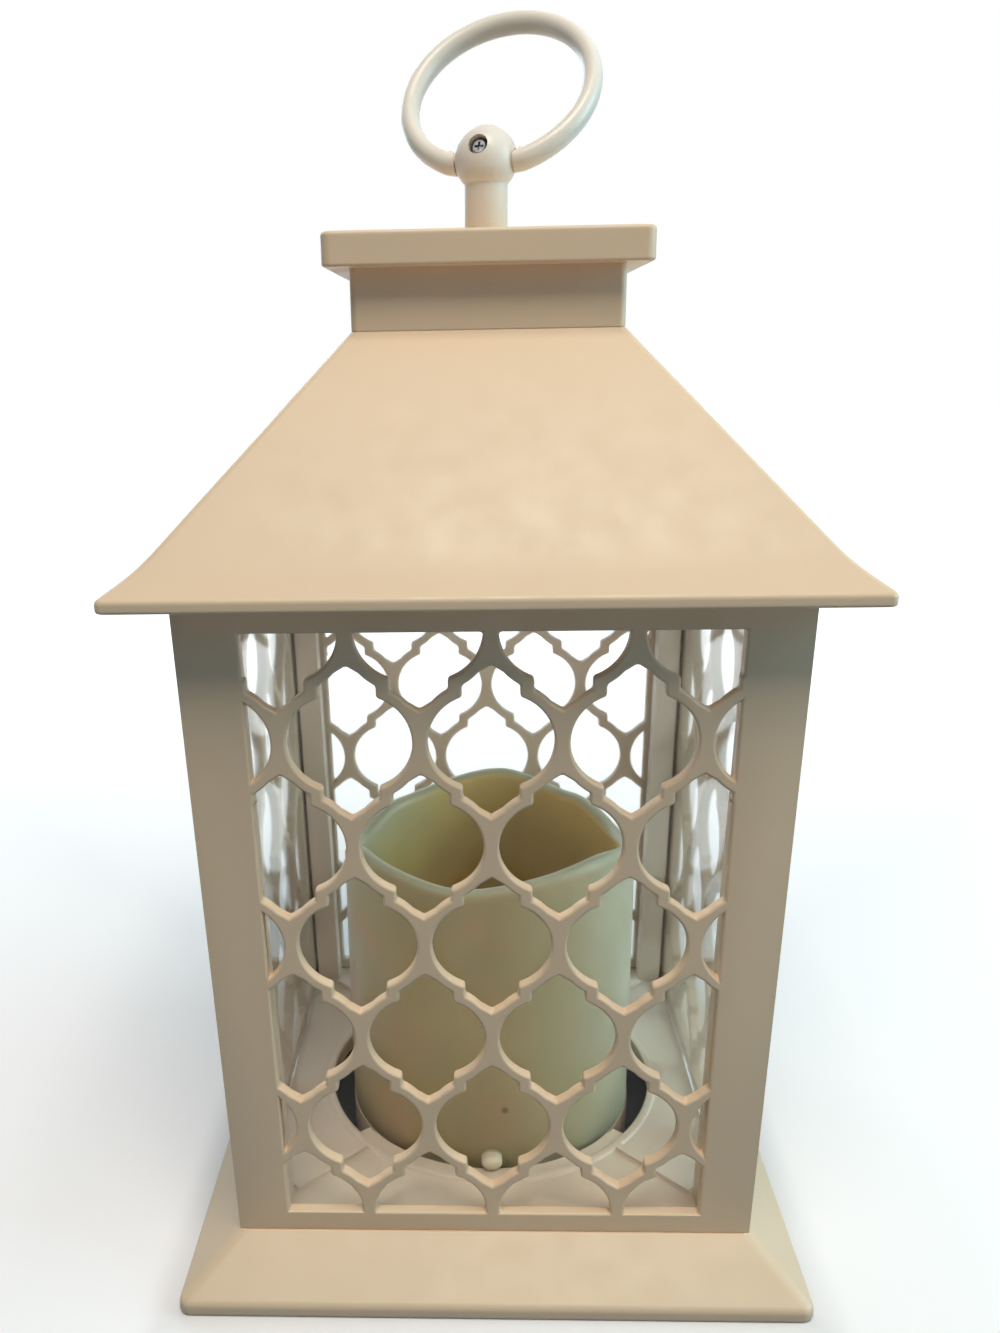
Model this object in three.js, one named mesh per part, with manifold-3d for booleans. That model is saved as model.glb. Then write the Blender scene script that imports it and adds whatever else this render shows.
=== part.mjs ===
// A square garden lantern in moulded plastic, with an electric pillar candle inside.
// Units are millimetres, +Z is up, and -Y is the front. The origin is the middle of the
// base, on the surface that the lantern stands on.
import * as THREE from 'three';
import { mergeVertices } from 'three/addons/utils/BufferGeometryUtils.js';
import Module from 'manifold-3d';

const wasm = await Module();
wasm.setup();

// Clearance between pieces that are fitted to each other
const GAP = 0.3;

// How far a cutting tool runs past the faces that it cuts, and how near corners are welded
const OVERRUN = 1;
const WELD = 1e-4;

// Sides of the round pieces
const HOLE_SIDES = 12;
const SMALL_SIDES = 16;
const ROUND_SIDES = 24;
const TRAY_SIDES = 40;
const CANDLE_SIDES = 48;

// Plinth: a flared, hollow skirt under the walls
const BASE_WIDTH = 152;
const BASE_EDGE_HEIGHT = 3.4;
const BASE_EDGE_ROUND = 0.8;
const BASE_CORNER_RADIUS = 3;
const PLINTH_HEIGHT = 14.1;
const PLINTH_WALL = 2.2;
const PLINTH_LEDGE = 0.4;
const DECK_THICKNESS = 2.2;

// Walls: four pierced panels that lean outwards to the eaves
const WALL_FOOT_WIDTH = 125;
const WALL_TOP_WIDTH = 132;
const WALL_TOP_Z = 173;
const WALL_THICKNESS = 3;
const STILE_TOP_WIDTH = 13.7;
const STILE_FOOT_WIDTH = 12.6;
const WINDOW_FOOT_Z = 19.2;
const WINDOW_TOP_Z = 166.1;

// Lattice: ogee cells in staggered rows
const CELL_PITCH = 30.2;
const ROW_RISE = 24.4;
const FIRST_ROW_Z = 19.85;
const STRAP_WIDTH = 2.45;
const LOBE_RADIUS = 10.75;
const NECK_WIDTH = 3.3;
const JOG_OFFSET = 6.1;
const CELL_SHOULDER_RISE = 15.6;
const CELL_POINT_RISE = 17.2;
const LOBE_STEPS = 3;
const OGEE_STEPS = 2;

// Clear panes and the posts that hold them
const PANE_THICKNESS = 1.2;
const POST_WIDTH = 8.5;
const REBATE_DEPTH = 3.2;

// Floor tray with the opening for the candle
const TRAY_THICKNESS = 2;
const TRAY_HOLE_ROOM = 5.8;
const TAB_ROOM = 2.2;
const TAB_HALF_ANGLE = 52;
const TAB_STEPS = 14;
const TRAY_RIB_HEIGHT = 0.9;
const TRAY_RIB_WIDTH = 2.2;

// Top frame that ties the posts and carries the roof
const TOP_FRAME_THICKNESS = 2.6;
const TOP_FRAME_BAR = 10.5;
const ROOF_WEB = 1.2;
const HOOK_WIDTH = 14;
const HOOK_THICKNESS = 1.4;
const HOOK_CATCH = 0.9;

// Roof, neck and cap
const EAVE_WIDTH = 155.4;
const EAVE_EDGE_HEIGHT = 2.6;
const ROOF_STRAIGHT_WIDTH = 141.4;
const ROOF_STRAIGHT_Z = 180.4;
const ROOF_TOP_Z = 225.4;
const ROOF_WALL = 2.4;
const EAVE_FLARE = 0.46;
const ROOF_WELL_DEPTH = 9;
const HIP_RADIUS = 1.6;
const NECK_SIZE = 60.2;
const NECK_WALL = 2.4;
const NECK_LIP = 5.5;
const NECK_PLUG = 4;
const CAP_SIZE = 71;
const CAP_FOOT_Z = 238.6;
const CAP_HEIGHT = 7.4;
const CAP_PLATE = 2.4;
const CAP_LIP = 3;
const CAP_CORNER_RADIUS = 2.2;
const CAP_EDGE_ROUND = 1.2;

// Finial: a post with a ball, free to turn in the cap
const FINIAL_RADIUS = 5.1;
const SPIGOT_RADIUS = 3.4;
const BALL_RADIUS = 7.4;
const BALL_RISE = 17.6;
const BALL_STEPS = 8;
const FINIAL_TURN = -17;

// Ring: a sprung loop whose end pins sit in the ball's cross bore
const RING_RADIUS = 22.4;
const RING_TUBE_RADIAL = 4.5;
const RING_TUBE_AXIAL = 5.6;
const RING_DROP = 2.5;
const RING_LEAN = 36.7;
const RING_TUBE_SIDES = 10;
const RING_STEPS = 36;
const PIN_RADIUS = 1.7;
const COLLAR_RADIUS = 2.7;
const COLLAR_LENGTH = 2.2;
const COLLAR_ROOM = 0.15;

// Screws
const SCREW_RADIUS = 1.3;
const SCREW_HEAD_RADIUS = 2.9;
const SCREW_HEAD_HEIGHT = 1.8;
const SCREW_HEAD_CROWN = 0.72;
const SCREW_HEAD_SHOULDER = 0.55;
const RECESS_LENGTH = 1.1;
const RECESS_WIDTH = 0.28;
const RECESS_FLOOR = 0.45;
const SCREW_LENGTH = 11;
const LOCK_SCREW_HEAD_RADIUS = 2;
const LOCK_SCREW_RISE = 21;
const LOCK_SCREW_SINK = 0.9;
const WASHER_RADIUS = 7;
const WASHER_THICKNESS = 0.9;

// Candle: a wax-like shell on a battery base
const CANDLE_RADIUS = 40.2;
const CANDLE_WALL = 3;
const CANDLE_HEIGHT = 94.1;
const RIM_WALL = 5;
const RIM_STEPS = 4;
const RIM_FADE_Z = 60;
const PIP_WIDTH = 5.4;
const PIP_HEIGHT = 3.8;
const PIP_REACH = 4.5;
const CANDLE_BASE_Z = 2;
const CANDLE_BASE_HEIGHT = 11;
const CANDLE_BASE_WALL = 2;
const SHELL_SPIGOT_WALL = 1.4;
const SHELL_SPIGOT_RISE = 3.5;
const BASE_CHAMFER = 0.8;
const POOL_Z = 55;
const POOL_THICKNESS = 2;
const LED_RADIUS = 2.5;
const LED_HEIGHT = 8.5;
const LED_DOME_STEPS = 5;
const LED_STEM_RADIUS = 1.2;
const SOCKET_RADIUS = 5.5;
const SOCKET_HEIGHT = 3;
const BOARD_LENGTH = 34;
const BOARD_WIDTH = 24;
const BOARD_THICKNESS = 1.6;
const BOARD_DROP = 5;
const STANDOFF_RADIUS = 2.6;
const STANDOFF_X = 11.3;

// Batteries and what holds them
const CELL_COUNT = 3;
const CELL_RADIUS = 5.25;
const CELL_LENGTH = 43.5;
const CELL_SPACING = 11;
const BUTTON_RADIUS = 1.9;
const BUTTON_LENGTH = 1;
const BAY_WALL = 1.3;
const CONTACT_THICKNESS = 0.5;
const SPRING_LENGTH = 3;
const SPRING_STRIP = 0.5;
const SPRING_HALF_HEIGHT = 3.2;
const SPRING_WIDTH = 5;
const DOOR_THICKNESS = 1.6;
const DOOR_MARGIN = 1.6;
const CATCH_WIDTH = 8;
const CATCH_THICKNESS = 0.8;
const CATCH_HEIGHT = 2.8;
const WIRE_RADIUS = 0.7;
const WIRE_SPREAD = 8;
const WIRE_BOW = 5;
const WIRE_SIDES = 8;
const WIRE_STEPS = 10;

// Slide switch under the candle
const SWITCH_EDGE = 7.9;
const SWITCH_LENGTH = 11;
const SWITCH_WIDTH = 5;
const SWITCH_HEIGHT = 4.2;
const SWITCH_WALL = 0.8;
const SWITCH_TRAVEL = 3;
const KNOB_LENGTH = 3;
const KNOB_WIDTH = 2.2;
const KNOB_REACH = 0.9;
const KNOB_FLANGE = 0.7;

// Heights of the melted rim round the candle, as [degrees from +X, z]
const RIM_POINTS = [
  [-195, 88],
  [-150, 96.5],
  [-105, 94.3],
  [-45, 98],
  [15, 89.5],
  [50, 94],
  [85, 98],
  [133, 93],
  [165, 88],
];

// Plastics, metal and board colours
const WHITE_PLASTIC = { color: 0xf1e7da, roughness: 0.42, metalness: 0 };
const INNER_PLASTIC = { color: 0xe9e6e0, roughness: 0.5, metalness: 0 };
const CLEAR_PLASTIC = { color: 0xdfe9ea, roughness: 0.08, metalness: 0, transparent: true, opacity: 0.3 };
const WAX = { color: 0xd9d3b0, roughness: 0.5, metalness: 0 };
const STEEL = { color: 0x9aa0a6, roughness: 0.35, metalness: 1 };
const BLACK_PLASTIC = { color: 0x1d1d1f, roughness: 0.5, metalness: 0 };
const AMBER = { color: 0xf2c46a, roughness: 0.2, metalness: 0 };
const BOARD_GREEN = { color: 0x1f6b3c, roughness: 0.55, metalness: 0 };
const BATTERY_WRAP = { color: 0x3b4a57, roughness: 0.35, metalness: 0.3 };
const RED_WIRE = { color: 0xb3261e, roughness: 0.5, metalness: 0 };

// Places that follow from the sizes
const trayHoleRadius = CANDLE_RADIUS + TRAY_HOLE_ROOM;
const tabRadius = CANDLE_RADIUS + TAB_ROOM;
const wallRise = WALL_TOP_Z - PLINTH_HEIGHT;
const wallLean = Math.atan((WALL_TOP_WIDTH - WALL_FOOT_WIDTH) / 2 / wallRise);
const insideFoot = WALL_FOOT_WIDTH / 2 - WALL_THICKNESS / Math.cos(wallLean);
const trayZ = PLINTH_HEIGHT;
const trayTop = trayZ + TRAY_THICKNESS;
const topFrameTop = WALL_TOP_Z;
const topFrameZ = topFrameTop - TOP_FRAME_THICKNESS;
const capTop = CAP_FOOT_Z + CAP_HEIGHT;
const ballZ = capTop + BALL_RISE;
const finialTurn = THREE.MathUtils.degToRad(FINIAL_TURN);
const hookFoot = topFrameZ - GAP - HOOK_THICKNESS;
const postInset = GAP + POST_WIDTH / 2;
const slope = (z) => Math.tan(wallLean) * (z - PLINTH_HEIGHT);
const postCentre = (z) => insideFoot + slope(z) - postInset;

const lantern = new THREE.Group();

// Solid modelling helpers

function toSolid(geometry) {
  const bare = geometry.clone();
  for (const name of Object.keys(bare.attributes)) {
    if (name !== 'position') bare.deleteAttribute(name);
  }
  const merged = mergeVertices(bare, WELD);
  const corners = Uint32Array.from(merged.index.array);
  if (signedVolume(merged.attributes.position, corners) < 0) corners.reverse();
  return new wasm.Manifold(new wasm.Mesh({
    numProp: 3,
    vertProperties: Float32Array.from(merged.attributes.position.array),
    triVerts: corners,
  }));
}

// Negative where the faces of a closed mesh point inwards
function signedVolume(place, corners) {
  const [a, b, c] = [new THREE.Vector3(), new THREE.Vector3(), new THREE.Vector3()];
  let volume = 0;
  for (let i = 0; i < corners.length; i += 3) {
    a.fromBufferAttribute(place, corners[i]);
    b.fromBufferAttribute(place, corners[i + 1]);
    c.fromBufferAttribute(place, corners[i + 2]);
    volume += a.dot(b.cross(c)) / 6;
  }
  return volume;
}

function toGeometry(solid) {
  const mesh = solid.getMesh();
  const geometry = new THREE.BufferGeometry();
  geometry.setAttribute('position', new THREE.BufferAttribute(mesh.vertProperties, 3));
  geometry.setIndex(new THREE.BufferAttribute(mesh.triVerts, 1));
  return geometry;
}

function join(...solids) {
  return solids.reduce((whole, next) => whole.add(next));
}

function cut(body, ...tools) {
  return tools.reduce((left, tool) => left.subtract(tool), body);
}

function moved(solid, x, y, z) {
  return solid.translate([x, y, z]);
}

function box(width, depth, height, x = 0, y = 0, z = 0) {
  return moved(toSolid(new THREE.BoxGeometry(width, depth, height)), x, y, z + height / 2);
}

function rod(radius, height, z = 0, sides = SMALL_SIDES) {
  const geometry = new THREE.CylinderGeometry(radius, radius, height, sides);
  geometry.rotateX(Math.PI / 2);
  geometry.translate(0, 0, z + height / 2);
  return toSolid(geometry);
}

function turned(profile, sides) {
  const points = profile.map(([r, z]) => new THREE.Vector2(r, z));
  const geometry = new THREE.LatheGeometry(points, sides);
  geometry.rotateX(Math.PI / 2);
  return toSolid(geometry);
}

// A rod that lies along X, from x to x + length
function crossRod(radius, x, length, sides = SMALL_SIDES) {
  return moved(rod(radius, length, 0, sides).rotate([0, 90, 0]), x, 0, 0);
}

function plate(points, thickness, z = 0) {
  const shape = new THREE.Shape(points.map(([x, y]) => new THREE.Vector2(x, y)));
  const geometry = new THREE.ExtrudeGeometry(shape, { depth: thickness, bevelEnabled: false });
  geometry.translate(0, 0, z);
  return toSolid(geometry);
}

function arcPoints(cx, cy, radius, from, to, steps) {
  const points = [];
  for (let i = 0; i <= steps; i += 1) {
    const angle = from + ((to - from) * i) / steps;
    points.push([cx + radius * Math.cos(angle), cy + radius * Math.sin(angle)]);
  }
  return points;
}

// A rounded square of the given half width, as points in the XY plane
function squareRing(half, radius, steps = 3) {
  const points = [];
  const middle = half - radius;
  for (let corner = 0; corner < 4; corner += 1) {
    const start = (corner * Math.PI) / 2;
    const cx = corner === 0 || corner === 3 ? middle : -middle;
    const cy = corner < 2 ? middle : -middle;
    points.push(...arcPoints(cx, cy, radius, start, start + Math.PI / 2, steps));
  }
  return points;
}

// A closed solid through rounded squares, each given as [half width, z], from foot to top
function squareLoft(levels, radius) {
  const rings = levels.map(([half, z]) => squareRing(half, radius).map(([x, y]) => [x, y, z]));
  const count = rings[0].length;
  const positions = rings.flat(2);
  const index = [];
  for (let r = 0; r + 1 < rings.length; r += 1) {
    for (let i = 0; i < count; i += 1) {
      const a = r * count + i;
      const b = r * count + ((i + 1) % count);
      index.push(a, b, b + count, a, b + count, a + count);
    }
  }
  const last = (rings.length - 1) * count;
  for (let i = 1; i + 1 < count; i += 1) {
    index.push(0, i + 1, i);
    index.push(last, last + i, last + i + 1);
  }
  const geometry = new THREE.BufferGeometry();
  geometry.setAttribute('position', new THREE.Float32BufferAttribute(positions, 3));
  geometry.setIndex(index);
  return toSolid(geometry);
}

function addPart(name, solid, finish, parent = lantern) {
  const geometry = toGeometry(solid);
  const mesh = new THREE.Mesh(geometry, new THREE.MeshStandardMaterial(finish));
  mesh.name = name;
  parent.add(mesh);
  return mesh;
}

// Plinth

function makePlinth() {
  const half = BASE_WIDTH / 2;
  const ledge = WALL_FOOT_WIDTH / 2 + PLINTH_LEDGE;
  const round = BASE_EDGE_ROUND;
  const outer = squareLoft([
    [half - round, 0],
    [half, round],
    [half, BASE_EDGE_HEIGHT - round],
    [half - round, BASE_EDGE_HEIGHT],
    [ledge, PLINTH_HEIGHT],
  ], BASE_CORNER_RADIUS);
  const inner = squareLoft([
    [half - PLINTH_WALL, -OVERRUN],
    [half - PLINTH_WALL, BASE_EDGE_HEIGHT - round],
    [ledge - PLINTH_WALL / 2, PLINTH_HEIGHT - DECK_THICKNESS],
  ], BASE_CORNER_RADIUS);
  const opening = rod(trayHoleRadius + GAP, PLINTH_HEIGHT + 2 * OVERRUN, -OVERRUN, TRAY_SIDES);
  return cut(outer, inner, opening, ...footScrewHoles(0, PLINTH_HEIGHT + OVERRUN));
}

// Copies of a solid at the four corners of a square of the given half width
function fourCorners(solid, half) {
  return [[-1, -1], [-1, 1], [1, -1], [1, 1]].map(([x, y]) => moved(solid, x * half, y * half, 0));
}

function footScrewHoles(z, height) {
  return fourCorners(rod(SCREW_RADIUS + GAP, height, z, HOLE_SIDES), postCentre(trayTop));
}

// Floor tray: a plate with the candle opening, two lock tabs, a rim and four ribs

function makeTray() {
  const half = insideFoot - GAP;
  const body = plate([[-half, -half], [half, -half], [half, half], [-half, half]], TRAY_THICKNESS, trayZ);
  const rim = rod(trayHoleRadius + TRAY_RIB_WIDTH, TRAY_THICKNESS + TRAY_RIB_HEIGHT, trayZ, TRAY_SIDES);
  const ribLength = postCentre(trayTop) * Math.SQRT2 - POST_WIDTH - trayHoleRadius;
  const ribs = [45, 135, 225, 315].map((angle) => {
    const rib = box(ribLength, TRAY_RIB_WIDTH, TRAY_THICKNESS + TRAY_RIB_HEIGHT,
      trayHoleRadius + ribLength / 2, 0, trayZ);
    return rib.rotate([0, 0, angle]);
  });
  const opening = rod(trayHoleRadius, PLINTH_HEIGHT, trayZ - OVERRUN, TRAY_SIDES);
  const tabs = [-90, 90].map(lockTab);
  const whole = join(body, rim, ...ribs);
  const holes = footScrewHoles(trayZ - OVERRUN, TRAY_THICKNESS + 2 * OVERRUN);
  const pierced = cut(whole, opening, ...holes);
  return join(pierced, ...tabs);
}

function lockTab(middle) {
  const from = THREE.MathUtils.degToRad(middle - TAB_HALF_ANGLE);
  const to = THREE.MathUtils.degToRad(middle + TAB_HALF_ANGLE);
  const reach = trayHoleRadius + TRAY_RIB_WIDTH / 2;
  return plate([
    ...arcPoints(0, 0, reach, from, to, TAB_STEPS),
    ...arcPoints(0, 0, tabRadius, to, from, TAB_STEPS),
  ], TRAY_THICKNESS, trayZ);
}

// Lattice panels

// One cell of the lattice: two side lobes, ogee shoulders that follow the next cells' lobes, and points
function cellOutline() {
  const lobeX = CELL_PITCH / 2 - NECK_WIDTH / 2 - LOBE_RADIUS;
  const nextX = CELL_PITCH / 2 - lobeX;
  const ogeeRadius = LOBE_RADIUS + STRAP_WIDTH;
  const lobeEnd = Math.acos((JOG_OFFSET - lobeX) / LOBE_RADIUS);
  const ogeeStart = Math.acos((JOG_OFFSET - nextX) / ogeeRadius);
  const shoulderX = nextX - Math.sqrt(ogeeRadius ** 2 - (ROW_RISE - CELL_SHOULDER_RISE) ** 2);
  const ogeeEnd = Math.acos((shoulderX - nextX) / ogeeRadius);
  const quarter = [
    ...arcPoints(lobeX, 0, LOBE_RADIUS, 0, lobeEnd, LOBE_STEPS),
    ...arcPoints(nextX, ROW_RISE, ogeeRadius, -ogeeStart, -ogeeEnd, OGEE_STEPS),
  ];
  const upperLeft = quarter.map(([x, y]) => [-x, y]).reverse();
  const upper = [...quarter, [0, CELL_POINT_RISE], ...upperLeft];
  const lower = upper.map(([x, y]) => [x, -y]).reverse();
  return [...upper, ...lower.slice(1, -1)];
}

// Places of the cells as [x, height above the foot of the wall]
function cellPlaces() {
  const places = [];
  const rows = Math.ceil((WINDOW_TOP_Z - FIRST_ROW_Z) / ROW_RISE) + 1;
  const columns = Math.ceil(WALL_TOP_WIDTH / 2 / CELL_PITCH);
  for (let row = -1; row < rows; row += 1) {
    const stagger = row % 2 === 0 ? 0.5 : 0;
    for (let column = -columns; column <= columns; column += 1) {
      places.push([(column + stagger) * CELL_PITCH, FIRST_ROW_Z - PLINTH_HEIGHT + row * ROW_RISE]);
    }
  }
  return places;
}

function windowOutline() {
  const foot = WALL_FOOT_WIDTH / 2 + slope(WINDOW_FOOT_Z) - STILE_FOOT_WIDTH;
  const top = WALL_FOOT_WIDTH / 2 + slope(WINDOW_TOP_Z) - STILE_TOP_WIDTH;
  const low = WINDOW_FOOT_Z - PLINTH_HEIGHT;
  const high = WINDOW_TOP_Z - PLINTH_HEIGHT;
  return [[-foot, low], [foot, low], [top, high], [-top, high]];
}

// Stands a flat plate up on the front wall's outer face, leaning with the wall
function onFrontWall(solid) {
  const stand = new THREE.Matrix4().makeRotationX(Math.PI / 2 + wallLean);
  stand.setPosition(0, -WALL_FOOT_WIDTH / 2, PLINTH_HEIGHT);
  return solid.transform(stand.elements.slice());
}

// The quarter of the plan that belongs to the front wall, short of the mitres by half a gap
function frontQuarter(foot, top) {
  const far = WALL_TOP_WIDTH;
  const apex = -GAP / Math.SQRT2;
  return plate([[0, apex], [-far, apex - far], [far, apex - far]], top - foot, foot);
}

function makeLatticePanel() {
  const margin = WALL_THICKNESS;
  const width = WALL_TOP_WIDTH / 2 + margin;
  const face = plate([[-width, -margin], [width, -margin], [width, wallRise + margin],
    [-width, wallRise + margin]], WALL_THICKNESS, -WALL_THICKNESS);
  const outline = cellOutline();
  const cells = cellPlaces().map(([x, y]) => (
    plate(outline.map(([u, v]) => [x + u, y + v]), WALL_THICKNESS + 2 * OVERRUN,
      -WALL_THICKNESS - OVERRUN)
  ));
  const window = plate(windowOutline(), 3 * WALL_THICKNESS, -2 * WALL_THICKNESS);
  const openings = join(...cells).intersect(window);
  return onFrontWall(cut(face, openings)).intersect(frontQuarter(PLINTH_HEIGHT, WALL_TOP_Z));
}

// Clear pane behind a lattice panel, with its edges in the posts' rebates

function makePane() {
  const low = trayTop + GAP;
  const high = topFrameZ - GAP;
  const edge = (z) => insideFoot + slope(z) - POST_WIDTH + REBATE_DEPTH - 2 * GAP;
  const outline = [[-edge(low), low], [edge(low), low], [edge(high), high], [-edge(high), high]];
  const flat = outline.map(([x, z]) => [x, z - PLINTH_HEIGHT]);
  const back = -WALL_THICKNESS - GAP - PANE_THICKNESS;
  return onFrontWall(plate(flat, PANE_THICKNESS, back));
}

// Corner post, square with a rebate for each of its two panes, drawn in the right rear corner

function makePost() {
  const outer = insideFoot - GAP;
  const inner = outer - POST_WIDTH;
  const rebate = GAP + PANE_THICKNESS + GAP;
  const section = [
    [inner, inner],
    [outer - rebate, inner],
    [outer - rebate, inner + REBATE_DEPTH],
    [outer, inner + REBATE_DEPTH],
    [outer, outer],
    [inner + REBATE_DEPTH, outer],
    [inner + REBATE_DEPTH, outer - rebate],
    [inner, outer - rebate],
  ];
  const upright = plate(section, topFrameZ - trayTop, trayTop);
  const lean = Math.tan(wallLean);
  const leaning = new THREE.Matrix4().set(
    1, 0, lean, -lean * PLINTH_HEIGHT,
    0, 1, lean, -lean * PLINTH_HEIGHT,
    0, 0, 1, 0,
    0, 0, 0, 1,
  );
  const drilled = SCREW_LENGTH + OVERRUN;
  const footHole = moved(rod(SCREW_RADIUS + GAP, drilled, trayTop - OVERRUN, HOLE_SIDES),
    postCentre(trayTop), postCentre(trayTop), 0);
  const topHole = moved(rod(SCREW_RADIUS + GAP, drilled, topFrameZ - SCREW_LENGTH, HOLE_SIDES),
    postCentre(topFrameZ), postCentre(topFrameZ), 0);
  return cut(upright.transform(leaning.elements.slice()), footHole, topHole);
}

// Top frame: a square of flat bars inside the top of the walls

function makeTopFrame() {
  const outer = insideFoot + slope(topFrameZ) - GAP;
  const inner = outer - TOP_FRAME_BAR;
  const ring = cut(
    box(2 * outer, 2 * outer, TOP_FRAME_THICKNESS, 0, 0, topFrameZ),
    box(2 * inner, 2 * inner, TOP_FRAME_THICKNESS + 2 * OVERRUN, 0, 0, topFrameZ - OVERRUN),
  );
  const hole = rod(SCREW_RADIUS + GAP, TOP_FRAME_THICKNESS + 2 * OVERRUN, topFrameZ - OVERRUN, HOLE_SIDES);
  return cut(ring, ...fourCorners(hole, postCentre(topFrameZ)));
}

// Roof: a hollow pyramid with flared eaves, and four hooks that hold the top frame

function makeRoof() {
  const eave = EAVE_WIDTH / 2;
  const top = NECK_SIZE / 2;
  const straight = ROOF_STRAIGHT_WIDTH / 2;
  const edgeTop = WALL_TOP_Z + EAVE_EDGE_HEIGHT;
  const flareZ = (ROOF_STRAIGHT_Z + edgeTop) / 2;
  const flare = straight + (eave - straight) * EAVE_FLARE;
  const round = EAVE_EDGE_HEIGHT / 4;
  const outer = squareLoft([
    [eave - round, WALL_TOP_Z],
    [eave, WALL_TOP_Z + round],
    [eave, edgeTop - round],
    [eave - round, edgeTop],
    [flare, flareZ],
    [straight, ROOF_STRAIGHT_Z],
    [top, ROOF_TOP_Z],
  ], HIP_RADIUS);
  const drop = ROOF_WALL * Math.SQRT2;
  const hollow = squareLoft([
    [eave - ROOF_WALL, WALL_TOP_Z - OVERRUN],
    [eave - ROOF_WALL, WALL_TOP_Z + GAP],
    [straight - ROOF_WALL / 2, ROOF_STRAIGHT_Z - drop],
    [top - ROOF_WALL / 2, ROOF_TOP_Z - drop],
  ], HIP_RADIUS);
  const mouth = top - NECK_LIP;
  const well = squareLoft([
    [mouth, ROOF_TOP_Z - ROOF_WELL_DEPTH],
    [mouth, ROOF_TOP_Z + OVERRUN],
  ], HIP_RADIUS);
  const seat = makeRoofSeat();
  return join(cut(outer, hollow, well), seat);
}

// A flat web across the underside of the eaves rests on the walls, with the hooks inside it
function makeRoofSeat() {
  const outer = (EAVE_WIDTH - ROOF_WALL) / 2;
  const frameInner = insideFoot + slope(topFrameZ) - GAP - TOP_FRAME_BAR;
  const inner = frameInner - GAP - HOOK_THICKNESS;
  const web = cut(
    squareLoft([[outer, WALL_TOP_Z], [outer, WALL_TOP_Z + ROOF_WEB]], HIP_RADIUS),
    box(2 * inner, 2 * inner, ROOF_WEB + 2 * OVERRUN, 0, 0, WALL_TOP_Z - OVERRUN),
  );
  const pockets = fourCorners(rod(SCREW_HEAD_RADIUS + GAP, ROOF_WEB + 2 * OVERRUN, WALL_TOP_Z - OVERRUN,
    SMALL_SIDES), postCentre(topFrameZ));
  const hooks = [0, 90, 180, 270].map((angle) => {
    const stem = box(HOOK_THICKNESS, HOOK_WIDTH, WALL_TOP_Z + ROOF_WEB - hookFoot,
      inner + HOOK_THICKNESS / 2, 0, hookFoot);
    const reach = HOOK_THICKNESS + GAP + HOOK_CATCH;
    const barb = box(reach, HOOK_WIDTH, HOOK_THICKNESS, inner + reach / 2, 0, hookFoot);
    return join(stem, barb).rotate([0, 0, angle]);
  });
  return join(cut(web, ...pockets), ...hooks);
}

// Neck: a square tube with a spigot that drops into the roof

function makeNeck() {
  const half = NECK_SIZE / 2;
  const spigot = half - NECK_LIP - GAP;
  const tube = squareLoft([[half, ROOF_TOP_Z], [half, CAP_FOOT_Z]], HIP_RADIUS);
  const plug = squareLoft([[spigot, ROOF_TOP_Z - NECK_PLUG], [spigot, ROOF_TOP_Z + OVERRUN]], HIP_RADIUS);
  const bore = squareLoft([
    [spigot - NECK_WALL, ROOF_TOP_Z - NECK_PLUG - OVERRUN],
    [spigot - NECK_WALL, CAP_FOOT_Z + OVERRUN],
  ], HIP_RADIUS);
  const chamber = half - NECK_WALL;
  const upper = squareLoft([
    [chamber, ROOF_TOP_Z + NECK_WALL],
    [chamber, CAP_FOOT_Z + OVERRUN],
  ], HIP_RADIUS);
  return cut(join(tube, plug), bore, upper);
}

// Cap: a square lid with a hole for the finial, and a lip inside the neck

function makeCap() {
  const half = CAP_SIZE / 2;
  const round = CAP_EDGE_ROUND;
  const shoulder = round * (1 - Math.SQRT1_2);
  const body = squareLoft([
    [half - round / 2, CAP_FOOT_Z],
    [half, CAP_FOOT_Z + round / 2],
    [half, capTop - round],
    [half - shoulder, capTop - shoulder],
    [half - round, capTop],
  ], CAP_CORNER_RADIUS);
  const lip = NECK_SIZE / 2 - NECK_WALL - GAP;
  const lipRing = squareLoft([[lip, CAP_FOOT_Z - CAP_LIP], [lip, CAP_FOOT_Z + OVERRUN]], HIP_RADIUS);
  const pocket = squareLoft([
    [lip - NECK_WALL, CAP_FOOT_Z - CAP_LIP - OVERRUN],
    [lip - NECK_WALL, capTop - CAP_PLATE],
  ], HIP_RADIUS);
  return cut(join(body, lipRing), pocket, rod(SPIGOT_RADIUS + GAP, CAP_HEIGHT * 2, CAP_FOOT_Z, ROUND_SIDES));
}

// Finial and what it carries, in a group that turns about Z

const finial = new THREE.Group();
finial.rotation.z = finialTurn;
lantern.add(finial);

// Distances of the lock screw's head and tip from the middle of the ball
const lockScrewSeat = BALL_RADIUS - LOCK_SCREW_SINK - SCREW_HEAD_HEIGHT;
const lockScrewTip = PIN_RADIUS + GAP;

// Turns a solid that stands on the Z axis so that it points along the lock screw
function alongLockScrew(solid) {
  return moved(solid.rotate([90 - LOCK_SCREW_RISE, 0, 0]), 0, 0, ballZ);
}

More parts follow.
